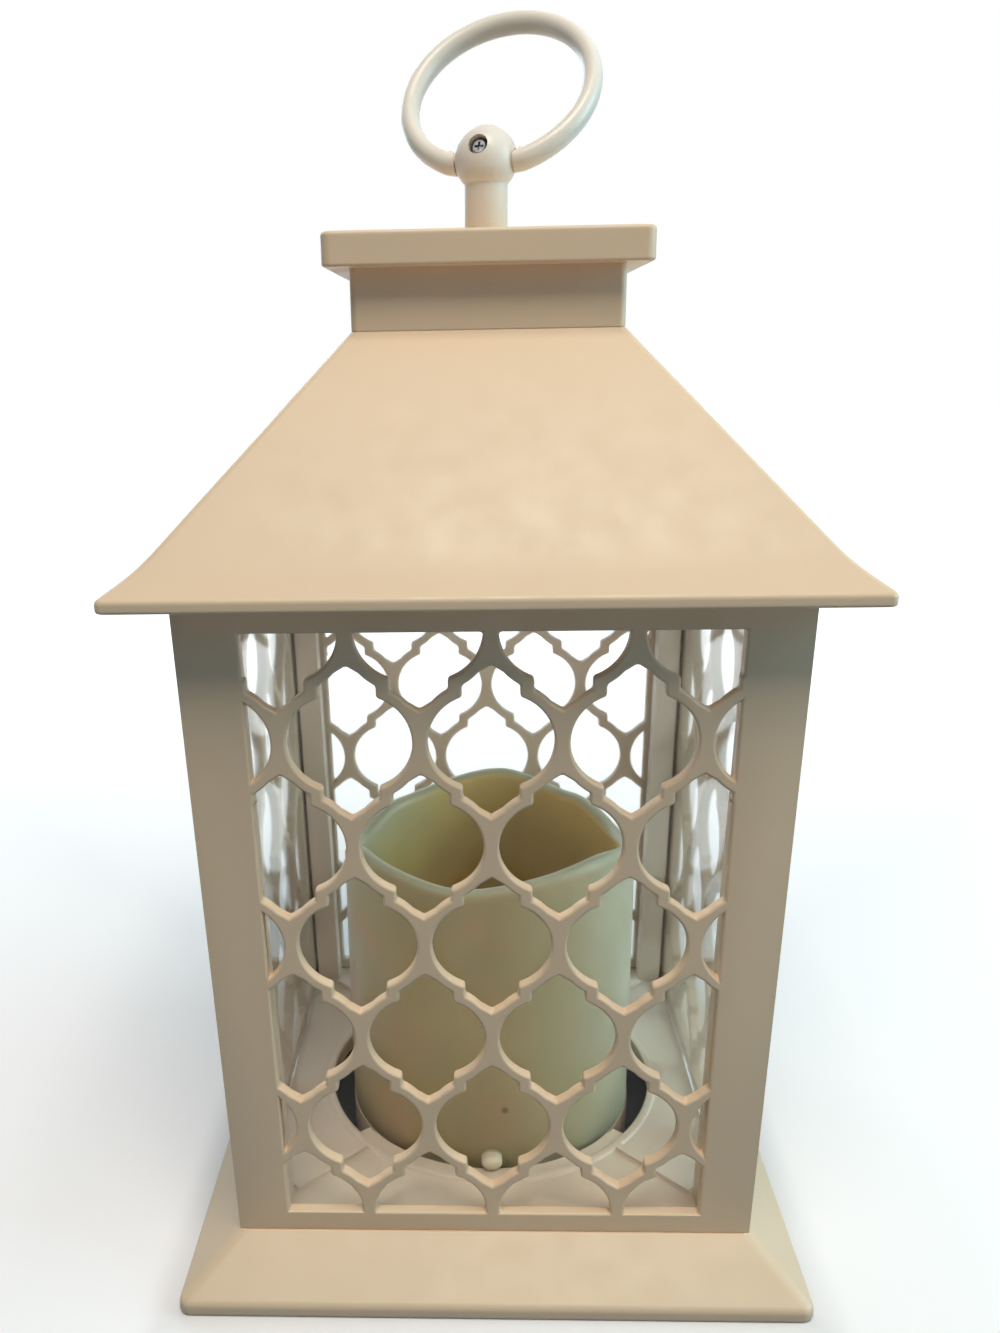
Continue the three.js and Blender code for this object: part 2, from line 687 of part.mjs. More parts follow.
function makeFinial() {
  const spigotFoot = capTop - CAP_PLATE - GAP;
  const shoulder = capTop + GAP;
  const waist = Math.sqrt(BALL_RADIUS ** 2 - FINIAL_RADIUS ** 2);
  const start = -Math.acos(FINIAL_RADIUS / BALL_RADIUS);
  const ball = arcPoints(0, ballZ, BALL_RADIUS, start, Math.PI / 2, BALL_STEPS).slice(1, -1);
  const body = turned([
    [0, spigotFoot],
    [SPIGOT_RADIUS, spigotFoot],
    [SPIGOT_RADIUS, shoulder],
    [FINIAL_RADIUS, shoulder],
    [FINIAL_RADIUS, ballZ - waist],
    ...ball,
    [0, ballZ + BALL_RADIUS],
  ], ROUND_SIDES);
  const pilot = rod(SCREW_RADIUS + GAP, SCREW_LENGTH, spigotFoot - OVERRUN, HOLE_SIDES);
  const crossBore = moved(crossRod(PIN_RADIUS + GAP, -2 * BALL_RADIUS, 4 * BALL_RADIUS), 0, 0, ballZ);
  const shankRoom = lockScrewTip + GAP;
  const shankHole = alongLockScrew(rod(SCREW_RADIUS + GAP, shankRoom + lockScrewSeat, -shankRoom,
    HOLE_SIDES));
  const headHole = alongLockScrew(rod(LOCK_SCREW_HEAD_RADIUS + GAP, BALL_RADIUS, lockScrewSeat - GAP,
    SMALL_SIDES));
  return cut(body, pilot, crossBore, shankHole, headHole);
}

// A pan head with a cross recess on a plain shank, pointing down from z = 0
function makeScrew(headRadius, length) {
  const shank = rod(SCREW_RADIUS, length, -length, HOLE_SIDES);
  const head = turned([
    [0, 0],
    [headRadius, 0],
    [headRadius, SCREW_HEAD_HEIGHT * SCREW_HEAD_SHOULDER],
    [headRadius * SCREW_HEAD_CROWN, SCREW_HEAD_HEIGHT],
    [0, SCREW_HEAD_HEIGHT],
  ], SMALL_SIDES);
  const slot = headRadius * RECESS_LENGTH;
  const bar = headRadius * RECESS_WIDTH;
  const floor = SCREW_HEAD_HEIGHT * RECESS_FLOOR;
  const recess = join(
    box(slot, bar, SCREW_HEAD_HEIGHT, 0, 0, floor),
    box(bar, slot, SCREW_HEAD_HEIGHT, 0, 0, floor),
  );
  return cut(join(moved(shank, 0, 0, floor / 2), head), recess);
}

function makeWasher() {
  const z = capTop - CAP_PLATE - 2 * GAP - WASHER_THICKNESS;
  return cut(
    rod(WASHER_RADIUS, WASHER_THICKNESS, z, ROUND_SIDES),
    rod(SCREW_RADIUS + GAP, WASHER_THICKNESS + 2 * OVERRUN, z - OVERRUN, HOLE_SIDES),
  );
}

// Ring: most of a torus of oval section, with a collar and a pin at each end

const ringPivot = new THREE.Group();
ringPivot.position.z = ballZ;
ringPivot.rotation.x = THREE.MathUtils.degToRad(-RING_LEAN);
finial.add(ringPivot);

function makeRing() {
  const torus = new THREE.TorusGeometry(RING_RADIUS, RING_TUBE_RADIAL / 2, RING_TUBE_SIDES, RING_STEPS);
  torus.scale(1, 1, RING_TUBE_AXIAL / RING_TUBE_RADIAL);
  torus.rotateX(Math.PI / 2);
  torus.translate(0, 0, RING_RADIUS - RING_DROP);
  const ballRoom = BALL_RADIUS + GAP + COLLAR_ROOM;
  const mouth = box(2 * ballRoom, 2 * BALL_RADIUS, 2 * BALL_RADIUS, 0, 0, -BALL_RADIUS);
  const open = cut(toSolid(torus), mouth);
  const pinInner = SCREW_RADIUS + 2 * GAP;
  const pin = crossRod(PIN_RADIUS, pinInner, ballRoom + COLLAR_LENGTH / 2 - pinInner);
  const collar = crossRod(COLLAR_RADIUS, ballRoom, COLLAR_LENGTH);
  const end = join(pin, collar);
  return join(open, end, end.mirror([1, 0, 0]));
}

// Candle and what it holds, all on the lantern's axis

// Height that the melted rim adds at a place on the circle, eased from one rim point to the next
function rimWave(x, y) {
  const degrees = THREE.MathUtils.radToDeg(Math.atan2(y, x));
  const angle = degrees > RIM_POINTS.at(-1)[0] ? degrees - 360 : degrees;
  const next = RIM_POINTS.findIndex(([limit]) => limit >= angle);
  const [from, low] = RIM_POINTS[Math.max(next - 1, 0)];
  const [to, high] = RIM_POINTS[next];
  return low + (high - low) * THREE.MathUtils.smoothstep(angle, from, to) - CANDLE_HEIGHT;
}

const shellFoot = CANDLE_BASE_Z + CANDLE_BASE_HEIGHT + GAP;
const boardTop = POOL_Z - BOARD_DROP;
const poolTop = POOL_Z + POOL_THICKNESS;

function makeCandleShell() {
  const outer = CANDLE_RADIUS;
  const inner = CANDLE_RADIUS - CANDLE_WALL;
  const hollow = CANDLE_RADIUS - RIM_WALL;
  const lip = RIM_WALL / 2;
  const rim = arcPoints(outer - lip, CANDLE_HEIGHT - lip, lip, 0, Math.PI, RIM_STEPS);
  const profile = [
    [outer, shellFoot],
    [outer, RIM_FADE_Z],
    ...rim,
    [hollow, RIM_FADE_Z],
    [hollow, poolTop + GAP],
    [inner, poolTop + GAP],
    [inner, shellFoot],
    [outer, shellFoot],
  ];
  const points = profile.map(([r, z]) => new THREE.Vector2(r, z));
  const geometry = new THREE.LatheGeometry(points, CANDLE_SIDES);
  geometry.rotateX(Math.PI / 2);
  const place = geometry.attributes.position;
  for (let i = 0; i < place.count; i += 1) {
    const z = place.getZ(i);
    const share = Math.max(0, (z - RIM_FADE_Z) / (CANDLE_HEIGHT - RIM_FADE_Z));
    place.setZ(i, z + share * rimWave(place.getX(i), place.getY(i)));
  }
  const pipLength = CANDLE_WALL / 2 + PIP_REACH;
  const stud = crossRod(1, CANDLE_RADIUS - CANDLE_WALL / 2, pipLength, HOLE_SIDES);
  const pip = moved(stud.scale([1, PIP_WIDTH / 2, PIP_HEIGHT / 2]), 0, 0, trayTop + GAP + PIP_HEIGHT / 2);
  return join(toSolid(geometry), pip.rotate([0, 0, -90]), pip.rotate([0, 0, 90]));
}

// Bay for the batteries, worked out from the cells
const contactRoom = GAP + CONTACT_THICKNESS + GAP;
const bayWidth = CELL_COUNT * CELL_SPACING;
const bayLength = CELL_LENGTH + BUTTON_LENGTH + 2 * contactRoom + SPRING_LENGTH + GAP;
const bayFoot = CANDLE_BASE_Z + DOOR_THICKNESS + GAP;
const bayHeight = 2 * (CELL_RADIUS + GAP);
const bayCeiling = bayFoot + bayHeight;
const bayTop = bayCeiling + BAY_WALL;
const doorWidth = bayWidth + 2 * (BAY_WALL + DOOR_MARGIN);
const doorLength = bayLength + 2 * (BAY_WALL + DOOR_MARGIN);
const baseFloor = CANDLE_BASE_Z + CANDLE_BASE_WALL;
const switchY = CANDLE_RADIUS - SWITCH_EDGE;
const catchY = bayLength / 2 + BAY_WALL + GAP;

function makeCandleBase() {
  const top = CANDLE_BASE_Z + CANDLE_BASE_HEIGHT;
  const cup = cut(
    turned([
      [0, CANDLE_BASE_Z],
      [CANDLE_RADIUS - BASE_CHAMFER, CANDLE_BASE_Z],
      [CANDLE_RADIUS, CANDLE_BASE_Z + BASE_CHAMFER],
      [CANDLE_RADIUS, top],
      [0, top],
    ], CANDLE_SIDES),
    rod(CANDLE_RADIUS - CANDLE_BASE_WALL, CANDLE_BASE_HEIGHT, baseFloor, CANDLE_SIDES),
  );
  const spigotRadius = CANDLE_RADIUS - CANDLE_WALL - GAP;
  const spigotHeight = top + SHELL_SPIGOT_RISE - baseFloor;
  const spigot = cut(
    rod(spigotRadius, spigotHeight, baseFloor, CANDLE_SIDES),
    rod(spigotRadius - SHELL_SPIGOT_WALL, spigotHeight + 2 * OVERRUN, baseFloor - OVERRUN, CANDLE_SIDES),
  );
  const bay = box(bayWidth + 2 * BAY_WALL, bayLength + 2 * BAY_WALL, bayTop - CANDLE_BASE_Z,
    0, 0, CANDLE_BASE_Z);
  const wellWidth = doorWidth + 2 * GAP;
  const wellLength = doorLength + 2 * GAP;
  const frame = box(wellWidth + 2 * BAY_WALL, wellLength + 2 * BAY_WALL, bayFoot + BAY_WALL - CANDLE_BASE_Z,
    0, 0, CANDLE_BASE_Z);
  const doorWell = box(wellWidth, wellLength, bayFoot - CANDLE_BASE_Z + OVERRUN, 0, 0, CANDLE_BASE_Z - OVERRUN);
  const throat = box(bayWidth, bayLength, bayCeiling - CANDLE_BASE_Z, 0, 0, CANDLE_BASE_Z);
  const catchSlot = box(CATCH_WIDTH + 2 * GAP, CATCH_THICKNESS + 2 * GAP, bayHeight,
    0, catchY + CATCH_THICKNESS / 2, CANDLE_BASE_Z);
  const knobSlot = box(KNOB_LENGTH + SWITCH_TRAVEL + 2 * GAP, KNOB_WIDTH + 2 * GAP, 2 * CANDLE_BASE_WALL,
    0, switchY, CANDLE_BASE_Z - OVERRUN);
  return cut(join(cup, spigot, bay, frame), doorWell, throat, catchSlot, knobSlot);
}

// The door turns on its round front edge, and a catch at its rear edge holds it shut
const doorHinge = { y: DOOR_THICKNESS / 2 - doorLength / 2, z: CANDLE_BASE_Z + DOOR_THICKNESS / 2 };

function makeDoor() {
  const roundEdge = moved(crossRod(DOOR_THICKNESS / 2, -doorWidth / 2, doorWidth), 0, doorHinge.y, doorHinge.z);
  const length = doorLength - DOOR_THICKNESS / 2;
  const panel = box(doorWidth, length, DOOR_THICKNESS, 0, (doorLength - length) / 2, CANDLE_BASE_Z);
  const catchNib = box(CATCH_WIDTH, CATCH_THICKNESS, DOOR_THICKNESS / 2 + CATCH_HEIGHT,
    0, catchY + CATCH_THICKNESS / 2, doorHinge.z);
  return join(panel, roundEdge, catchNib);
}

// A dry cell that lies along Y with its button at the rear, centred over its own length
function makeBattery() {
  const body = rod(CELL_RADIUS, CELL_LENGTH, -CELL_LENGTH / 2);
  const button = rod(BUTTON_RADIUS, 2 * BUTTON_LENGTH, CELL_LENGTH / 2 - BUTTON_LENGTH);
  return join(body, button).rotate([-90, 0, 0]);
}

// A leaf spring: a strip bent to a V that points along +Y, with its feet at y = 0
function makeLeafSpring() {
  const tall = SPRING_HALF_HEIGHT;
  const inset = SPRING_STRIP * Math.SQRT2;
  const strip = plate([
    [0, -tall],
    [SPRING_LENGTH, 0],
    [0, tall],
    [0, tall - inset],
    [SPRING_LENGTH - inset, 0],
    [0, inset - tall],
  ], SPRING_WIDTH, -SPRING_WIDTH / 2);
  const stand = new THREE.Matrix4().set(
    0, 0, 1, 0,
    1, 0, 0, 0,
    0, 1, 0, 0,
    0, 0, 0, 1,
  );
  return strip.transform(stand.elements.slice());
}

// Pool: the disc that closes the hollow above the works, with two standoffs for the board

function makePool() {
  const disc = rod(CANDLE_RADIUS - CANDLE_WALL - GAP, POOL_THICKNESS, POOL_Z, CANDLE_SIDES);
  const standoffs = [-1, 1].map((side) => (
    moved(rod(STANDOFF_RADIUS, BOARD_DROP + POOL_THICKNESS / 2, boardTop), side * STANDOFF_X, 0, 0)
  ));
  const stemHole = rod(LED_STEM_RADIUS + GAP, BOARD_DROP + POOL_THICKNESS + 2 * OVERRUN, boardTop - OVERRUN);
  return cut(join(disc, ...standoffs), stemHole);
}

function makeSocket() {
  return cut(
    rod(SOCKET_RADIUS, SOCKET_HEIGHT, poolTop, ROUND_SIDES),
    rod(LED_RADIUS + GAP, SOCKET_HEIGHT + 2 * OVERRUN, poolTop - OVERRUN),
  );
}

function makeLed() {
  const seat = poolTop + GAP;
  const domeZ = seat + LED_HEIGHT - LED_RADIUS;
  return turned([
    [0, boardTop],
    [LED_STEM_RADIUS, boardTop],
    [LED_STEM_RADIUS, seat],
    [LED_RADIUS, seat],
    ...arcPoints(0, domeZ, LED_RADIUS, 0, Math.PI / 2, LED_DOME_STEPS).slice(0, -1),
    [0, domeZ + LED_RADIUS],
  ], SMALL_SIDES);
}

// A lead from the battery bay up to the board, bowed towards the side
function makeLead(side) {
  const foot = bayTop;
  const head = boardTop - BOARD_THICKNESS;
  const x = side * WIRE_SPREAD;
  const bow = side * (WIRE_SPREAD + WIRE_BOW);
  const route = new THREE.CubicBezierCurve3(
    new THREE.Vector3(x, 0, foot),
    new THREE.Vector3(x, 0, foot + (head - foot) / 3),
    new THREE.Vector3(bow, 0, head - (head - foot) / 3),
    new THREE.Vector3(bow, 0, head),
  );
  const around = arcPoints(0, 0, WIRE_RADIUS, 0, 2 * Math.PI, WIRE_SIDES).slice(1);
  const section = new THREE.Shape(around.map(([u, v]) => new THREE.Vector2(u, v)));
  return toSolid(new THREE.ExtrudeGeometry(section, { steps: WIRE_STEPS, extrudePath: route }));
}

// Slide switch

function makeSwitchBody() {
  const chamberHeight = SWITCH_HEIGHT - SWITCH_WALL;
  return cut(
    box(SWITCH_LENGTH, SWITCH_WIDTH, SWITCH_HEIGHT, 0, switchY, baseFloor),
    box(SWITCH_LENGTH - 2 * SWITCH_WALL, SWITCH_WIDTH - 2 * SWITCH_WALL, chamberHeight + OVERRUN,
      0, switchY, baseFloor - OVERRUN),
  );
}

function makeKnob() {
  const x = -SWITCH_TRAVEL / 2;
  const flangeZ = baseFloor + GAP;
  const foot = CANDLE_BASE_Z - KNOB_REACH;
  const stem = box(KNOB_LENGTH, KNOB_WIDTH, flangeZ + KNOB_FLANGE - foot, x, switchY, foot);
  const flange = box(KNOB_LENGTH + 2 * KNOB_FLANGE, SWITCH_WIDTH - 2 * SWITCH_WALL - 2 * GAP, KNOB_FLANGE,
    x, switchY, flangeZ);
  return join(stem, flange);
}

// Assembly

const SIDES = ['front', 'right', 'rear', 'left'];
const CORNERS = ['rear_right', 'rear_left', 'front_left', 'front_right'];
const quarterTurn = Math.PI / 2;

addPart('plinth', makePlinth(), WHITE_PLASTIC);
addPart('floor_tray', makeTray(), INNER_PLASTIC);

const panel = makeLatticePanel();
const pane = makePane();
SIDES.forEach((side, i) => {
  addPart(`lattice_panel_${side}`, panel, WHITE_PLASTIC).rotation.z = i * quarterTurn;
  addPart(`clear_pane_${side}`, pane, CLEAR_PLASTIC).rotation.z = i * quarterTurn;
});

const post = makePost();
const panScrew = makeScrew(SCREW_HEAD_RADIUS, SCREW_LENGTH);
const upScrew = panScrew.rotate([180, 0, 0]);
CORNERS.forEach((corner, i) => {
  addPart(`corner_post_${corner}`, post, INNER_PLASTIC).rotation.z = i * quarterTurn;
  const stand = new THREE.Group();
  stand.rotation.z = i * quarterTurn;
  lantern.add(stand);
  const foot = postCentre(trayTop);
  const head = postCentre(topFrameZ);
  addPart(`foot_screw_${corner}`, upScrew, STEEL, stand)
    .position.set(foot, foot, PLINTH_HEIGHT - DECK_THICKNESS);
  addPart(`frame_screw_${corner}`, panScrew, STEEL, stand).position.set(head, head, topFrameTop);
});

addPart('top_frame', makeTopFrame(), INNER_PLASTIC);
addPart('roof', makeRoof(), WHITE_PLASTIC);
addPart('neck', makeNeck(), WHITE_PLASTIC);
addPart('cap', makeCap(), WHITE_PLASTIC);

addPart('finial', makeFinial(), WHITE_PLASTIC, finial);
addPart('finial_washer', makeWasher(), STEEL, finial);
addPart('finial_screw', upScrew, STEEL, finial)
  .position.z = capTop - CAP_PLATE - 3 * GAP - WASHER_THICKNESS;
const lockScrew = moved(makeScrew(LOCK_SCREW_HEAD_RADIUS, lockScrewSeat + lockScrewTip), 0, 0, lockScrewSeat);
addPart('ring_lock_screw', alongLockScrew(lockScrew), STEEL, finial);
addPart('ring_handle', makeRing(), WHITE_PLASTIC, ringPivot);

addPart('candle_shell', makeCandleShell(), WAX);
addPart('candle_pool', makePool(), WAX);
addPart('candle_base', makeCandleBase(), WHITE_PLASTIC);
addPart('led_socket', makeSocket(), WHITE_PLASTIC);
addPart('led', makeLed(), AMBER);
addPart('circuit_board', box(BOARD_LENGTH, BOARD_WIDTH, BOARD_THICKNESS,
  0, 0, boardTop - BOARD_THICKNESS), BOARD_GREEN);
addPart('lead_red', makeLead(1), RED_WIRE);
addPart('lead_black', makeLead(-1), BLACK_PLASTIC);

const battery = makeBattery();
const leafSpring = makeLeafSpring();
const cellZ = bayFoot + GAP + CELL_RADIUS;
for (let i = 0; i < CELL_COUNT; i += 1) {
  const turn = i % 2 === 0 ? 1 : -1;
  const x = (i - (CELL_COUNT - 1) / 2) * CELL_SPACING;
  const tip = bayLength / 2 - contactRoom;
  const middle = tip - BUTTON_LENGTH - CELL_LENGTH / 2;
  const cell = addPart(`battery_${i + 1}`, battery, BATTERY_WRAP);
  cell.position.set(x, turn * middle, cellZ);
  cell.rotation.z = turn > 0 ? 0 : Math.PI;
  const spring = addPart(`contact_spring_${i + 1}`, leafSpring, STEEL);
  spring.position.set(x, -turn * (bayLength / 2 - contactRoom), cellZ);
  spring.rotation.z = turn > 0 ? 0 : Math.PI;
}
for (const [name, side] of [['front', -1], ['rear', 1]]) {
  addPart(`contact_plate_${name}`, box(bayWidth - 2 * GAP, CONTACT_THICKNESS, 2 * CELL_RADIUS,
    0, side * (bayLength / 2 - GAP - CONTACT_THICKNESS / 2), bayFoot + GAP), STEEL);
}

addPart('battery_door', makeDoor(), WHITE_PLASTIC);
addPart('switch_body', makeSwitchBody(), BLACK_PLASTIC);
addPart('switch_knob', makeKnob(), BLACK_PLASTIC);

export default lantern;
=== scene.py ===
"""Models and finishes a square plastic garden lantern with an electric pillar candle.

Lengths are metres in the lantern's own frame: +Z is up, -Y is the front, and the origin is the
middle of the base, on the surface that the lantern stands on.
"""

import math

import bmesh
import bpy
from bpy.props import FloatProperty, FloatVectorProperty, IntProperty, PointerProperty
from mathutils import Matrix, Vector, noise


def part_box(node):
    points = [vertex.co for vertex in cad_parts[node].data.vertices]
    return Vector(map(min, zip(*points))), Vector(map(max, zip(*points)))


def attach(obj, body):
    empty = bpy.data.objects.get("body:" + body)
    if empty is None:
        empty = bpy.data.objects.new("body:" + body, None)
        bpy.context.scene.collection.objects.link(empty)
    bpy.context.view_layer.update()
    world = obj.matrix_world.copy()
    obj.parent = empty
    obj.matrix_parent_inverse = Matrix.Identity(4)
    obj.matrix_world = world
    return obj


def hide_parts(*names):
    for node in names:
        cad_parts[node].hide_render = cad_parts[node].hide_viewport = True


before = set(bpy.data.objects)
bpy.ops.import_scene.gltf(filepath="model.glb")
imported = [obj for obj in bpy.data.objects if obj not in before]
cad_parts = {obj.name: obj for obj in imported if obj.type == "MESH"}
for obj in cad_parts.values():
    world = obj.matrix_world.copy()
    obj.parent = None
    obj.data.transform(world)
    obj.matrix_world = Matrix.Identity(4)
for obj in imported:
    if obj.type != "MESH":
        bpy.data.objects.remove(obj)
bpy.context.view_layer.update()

bl_info = {
    "name": "Lattice lantern",
    "version": (1, 0, 0),
    "blender": (4, 5, 0),
    "location": "3D View > Sidebar > Lantern",
    "description": "Models and finishes a square plastic lantern with an electric pillar candle",
    "category": "Object",
}

MM = 0.001
GAP = 0.3 * MM
QUARTER = math.pi / 2
SIDES = ("front", "right", "rear", "left")
CORNERS = ("rear_right", "rear_left", "front_left", "front_right")


def length(name, millimetres, description):
    """A distance property that is shown in the panel"""
    shown = {"name": name, "description": description}
    return FloatProperty(**shown, default=millimetres * MM, min=0, subtype="DISTANCE", unit="LENGTH")


def colour(name, value, description):
    """A linear colour property that is shown in the panel"""
    return FloatVectorProperty(
        name=name, description=description, default=value, size=3, min=0, max=1, subtype="COLOR"
    )


def turn(name, degrees, description):
    """An angle property that is shown in the panel"""
    return FloatProperty(
        name=name, description=description, default=math.radians(degrees), subtype="ANGLE", unit="ROTATION"
    )


def amount(name, value, description, low=0.0):
    """A plain number that is shown in the panel"""
    return FloatProperty(name=name, description=description, default=value, min=low)


class LANTERN_PG_walls(bpy.types.PropertyGroup):
    """Sizes of the four lattice walls"""

    foot_width: length("Foot width", 125, "Width across the walls at the plinth")
    top_width: length("Top width", 132, "Width across the walls at the eaves")
    foot_z: length("Foot height", 14.1, "Height of the plinth's top")
    top_z: length("Top height", 173, "Height of the walls' top")
    thickness: length("Thickness", 3, "Thickness of a wall")
    stile_top: length("Stile at top", 13.7, "Width of the plain border at the top corner")
    stile_foot: length("Stile at foot", 12.6, "Width of the plain border at the foot corner")
    window_foot: length("Window foot", 19.2, "Height where the lattice starts")
    window_top: length("Window top", 166.1, "Height where the lattice ends")
    pitch: length("Cell pitch", 30.2, "Distance between cells in a row")
    row_rise: length("Row rise", 24.4, "Height from one row to the next")
    first_row: length("First row", 19.85, "Height of the lowest row's middle")
    strap: length("Strap", 2.45, "Width of a strap between cells")
    lobe: length("Lobe radius", 10.75, "Radius of a cell's side lobe")
    neck: length("Neck width", 3.3, "Width of the strap where two lobes meet")
    jog: length("Jog offset", 6.1, "Distance of the small step from a cell's middle")
    shoulder: length("Shoulder rise", 15.6, "Height above a cell's middle where its shoulders end")
    point: length("Point rise", 17.2, "Height of a cell's point above its middle")
    edge: length("Edge rounding", 0.62, "Rounding of the straps' edges")
    mitre: length("Mitre gap", 0.04, "Gap that shows at a corner between two walls")
    arc_steps: IntProperty(name="Arc steps", description="Facets on one lobe's arc", default=12, min=2)


class LANTERN_PG_roof(bpy.types.PropertyGroup):
    """Sizes of the roof, the neck and the cap"""

    eave_width: length("Eave width", 155.4, "Width across the eaves")
    eave_edge: length("Eave edge", 2.6, "Height of the upright edge of the eaves")
    straight_width: length("Slope foot width", 141.4, "Width where the flared eaves meet the straight slope")
    straight_z: length("Slope foot height", 180.4, "Height where the straight slope starts")
    top_z: length("Roof top", 225.4, "Height where the roof meets the neck")
    wall: length("Wall", 2.4, "Thickness of the roof's shell")
    hip: length("Hip rounding", 1.6, "Rounding of the four hips")
    neck_size: length("Neck size", 60.2, "Width of the square neck")
    lip: length("Neck lip", 5.5, "Distance from the neck's face to the well in the roof's top")
    cap_size: length("Cap size", 71, "Width of the cap")
    cap_foot: length("Cap foot", 238.6, "Height of the cap's underside")
    cap_height: length("Cap height", 7.4, "Height of the cap")
    cap_plate: length("Cap plate", 2.4, "Thickness of the cap's top")
    cap_corner: length("Cap corner", 2.2, "Rounding of the cap's corners in plan")
    cap_edge: length("Cap edge", 1.3, "Rounding of the cap's upper edge")


class LANTERN_PG_base(bpy.types.PropertyGroup):
    """Sizes of the plinth and the floor tray"""

    width: length("Plinth width", 152, "Width across the plinth's foot")
    edge_height: length("Edge height", 3.4, "Height of the plinth's upright edge")
    edge_round: length("Edge rounding", 0.9, "Rounding of the plinth's edges")
    corner: length("Corner", 3, "Rounding of the plinth's corners in plan")
    wall: length("Wall", 2.2, "Thickness of the plinth's skirt")
    ledge: length("Ledge", 0.4, "Width of the plinth's top outside the walls")
    deck: length("Deck", 2.2, "Thickness of the plinth's top")
    tray: length("Tray thickness", 2, "Thickness of the floor tray")
    opening: length("Opening radius", 46, "Radius of the opening for the candle")
    tab_radius: length("Tab radius", 42.4, "Radius of the lock tabs' inner edge")
    tab_angle: turn("Tab half angle", 52, "Half the angle that a lock tab covers")
    rib_height: length("Rib height", 0.9, "Height of the tray's ribs and rim")
    rib_width: length("Rib width", 2.2, "Width of the tray's ribs and rim")


class LANTERN_PG_ring(bpy.types.PropertyGroup):
    """Sizes of the finial and its ring handle"""

    post: length("Post radius", 5.1, "Radius of the post on the cap")
    spigot: length("Spigot radius", 3.4, "Radius of the finial where it passes through the cap")
    ball: length("Ball radius", 7.4, "Radius of the ball")
    ball_rise: length("Ball rise", 17.6, "Height of the ball's middle above the cap")
    radius: length("Ring radius", 22.4, "Radius of the ring's middle line")
    radial: length("Ring thickness", 4.5, "Thickness of the ring in its own plane")
    axial: length("Ring width", 5.6, "Width of the ring across its plane")
    drop: length("Ring drop", 2.5, "Distance of the ring's lowest middle point under the pivot")
    lean: turn("Lean", 36.7, "Angle by which the ring leans back")
    finial_turn: turn("Finial turn", -17, "Angle of the finial about the upright axis")
    pin: length("Pin radius", 1.7, "Radius of the pins at the ring's ends")
    collar: length("Collar radius", 2.4, "Radius of the collars at the ring's ends")
    clearance: length("Clearance", 0.45, "Gap between the ball and the ring's ends")
    screw_rise: turn("Lock screw rise", 21, "Angle of the lock screw above level")
    screw_head: length("Lock screw head", 2, "Radius of the lock screw's head")
    screw_depth: length("Lock screw depth", 3.2, "Depth of the lock screw's seat in the ball")


class LANTERN_PG_candle(bpy.types.PropertyGroup):
    """Sizes of the electric candle"""

    radius: length("Radius", 40.2, "Outer radius of the candle")
    wall: length("Wall", 3, "Thickness of the wax-like shell")
    height: length("Height", 94.1, "Mean height of the rim")
    foot: length("Shell foot", 13.3, "Height where the shell meets its base")
    rim_wall: length("Rim wall", 5, "Thickness of the shell above the pool")
    pip_width: length("Pip width", 5.4, "Width of the pips that rest on the lock tabs")
    pip_height: length("Pip height", 3.8, "Height of the pips")
    pip_reach: length("Pip reach", 4.5, "Distance that a pip stands out of the shell")
    pool_z: length("Pool height", 55, "Underside of the disc that closes the hollow")
    pool: length("Pool thickness", 2, "Thickness of the disc that closes the hollow")
    fade: length("Wave foot", 60, "Height down to which the rim's waves reach")
    standoff: length("Standoff place", 11.3, "Distance of the board's standoffs from the middle")
    led: length("LED radius", 2.5, "Radius of the lamp's lens")


class LANTERN_PG_finish(bpy.types.PropertyGroup):
    """Colours of the lantern, as linear values"""

    white: colour("White plastic", (0.85, 0.62, 0.42), "Warm white of the moulded outer pieces")
    pale: colour("Ring plastic", (0.93, 0.82, 0.71), "Paler white of the ring handle and its finial")
    # Painted shade: a darker, cooler copy of the white plastic that stands in for the shade and cool light
    # inside the lantern
    inner: colour("Shaded inner plastic", (0.58, 0.465, 0.355), "Cooler white of the pieces inside")
    wax: colour("Wax", (0.285, 0.225, 0.1), "Ivory of the candle's side")
    # Painted glow: a pale green that stands in for light shining through the thin rim of wax
    wax_rim_painted_glow: colour("Wax rim", (0.38, 0.37, 0.25), "Pale green of the candle's thin edges")
    # Painted light: pale green that stands in for the cool light from the right, on the candle's right side
    # and the hollow's upper left
    wax_painted_light: colour("Wax painted light", (0.335, 0.31, 0.205), "Pale green of the right side and the hollow's left")
    wax_pip: colour("Wax pip", (0.56, 0.48, 0.35), "Pale cream of the lock pips")
    wax_warm: colour("Wax patch", (0.34, 0.22, 0.11), "Peach of the warm patches on the candle's side")
    wax_inside: colour("Wax hollow", (0.56, 0.42, 0.15), "Golden olive inside the candle's hollow")
    steel: colour("Steel", (0.28, 0.28, 0.29), "Plated steel of the screws and contacts")
    black: colour("Black plastic", (0.02, 0.02, 0.022), "Black of the switch and one lead")
    amber: colour("Amber lens", (0.85, 0.50, 0.14), "Lens of the lamp")
    board: colour("Board", (0.02, 0.13, 0.045), "Solder mask of the circuit board")
    wrap: colour("Battery wrap", (0.045, 0.065, 0.09), "Plain wrap of the batteries")
    red: colour("Red lead", (0.42, 0.025, 0.018), "Insulation of the red lead")


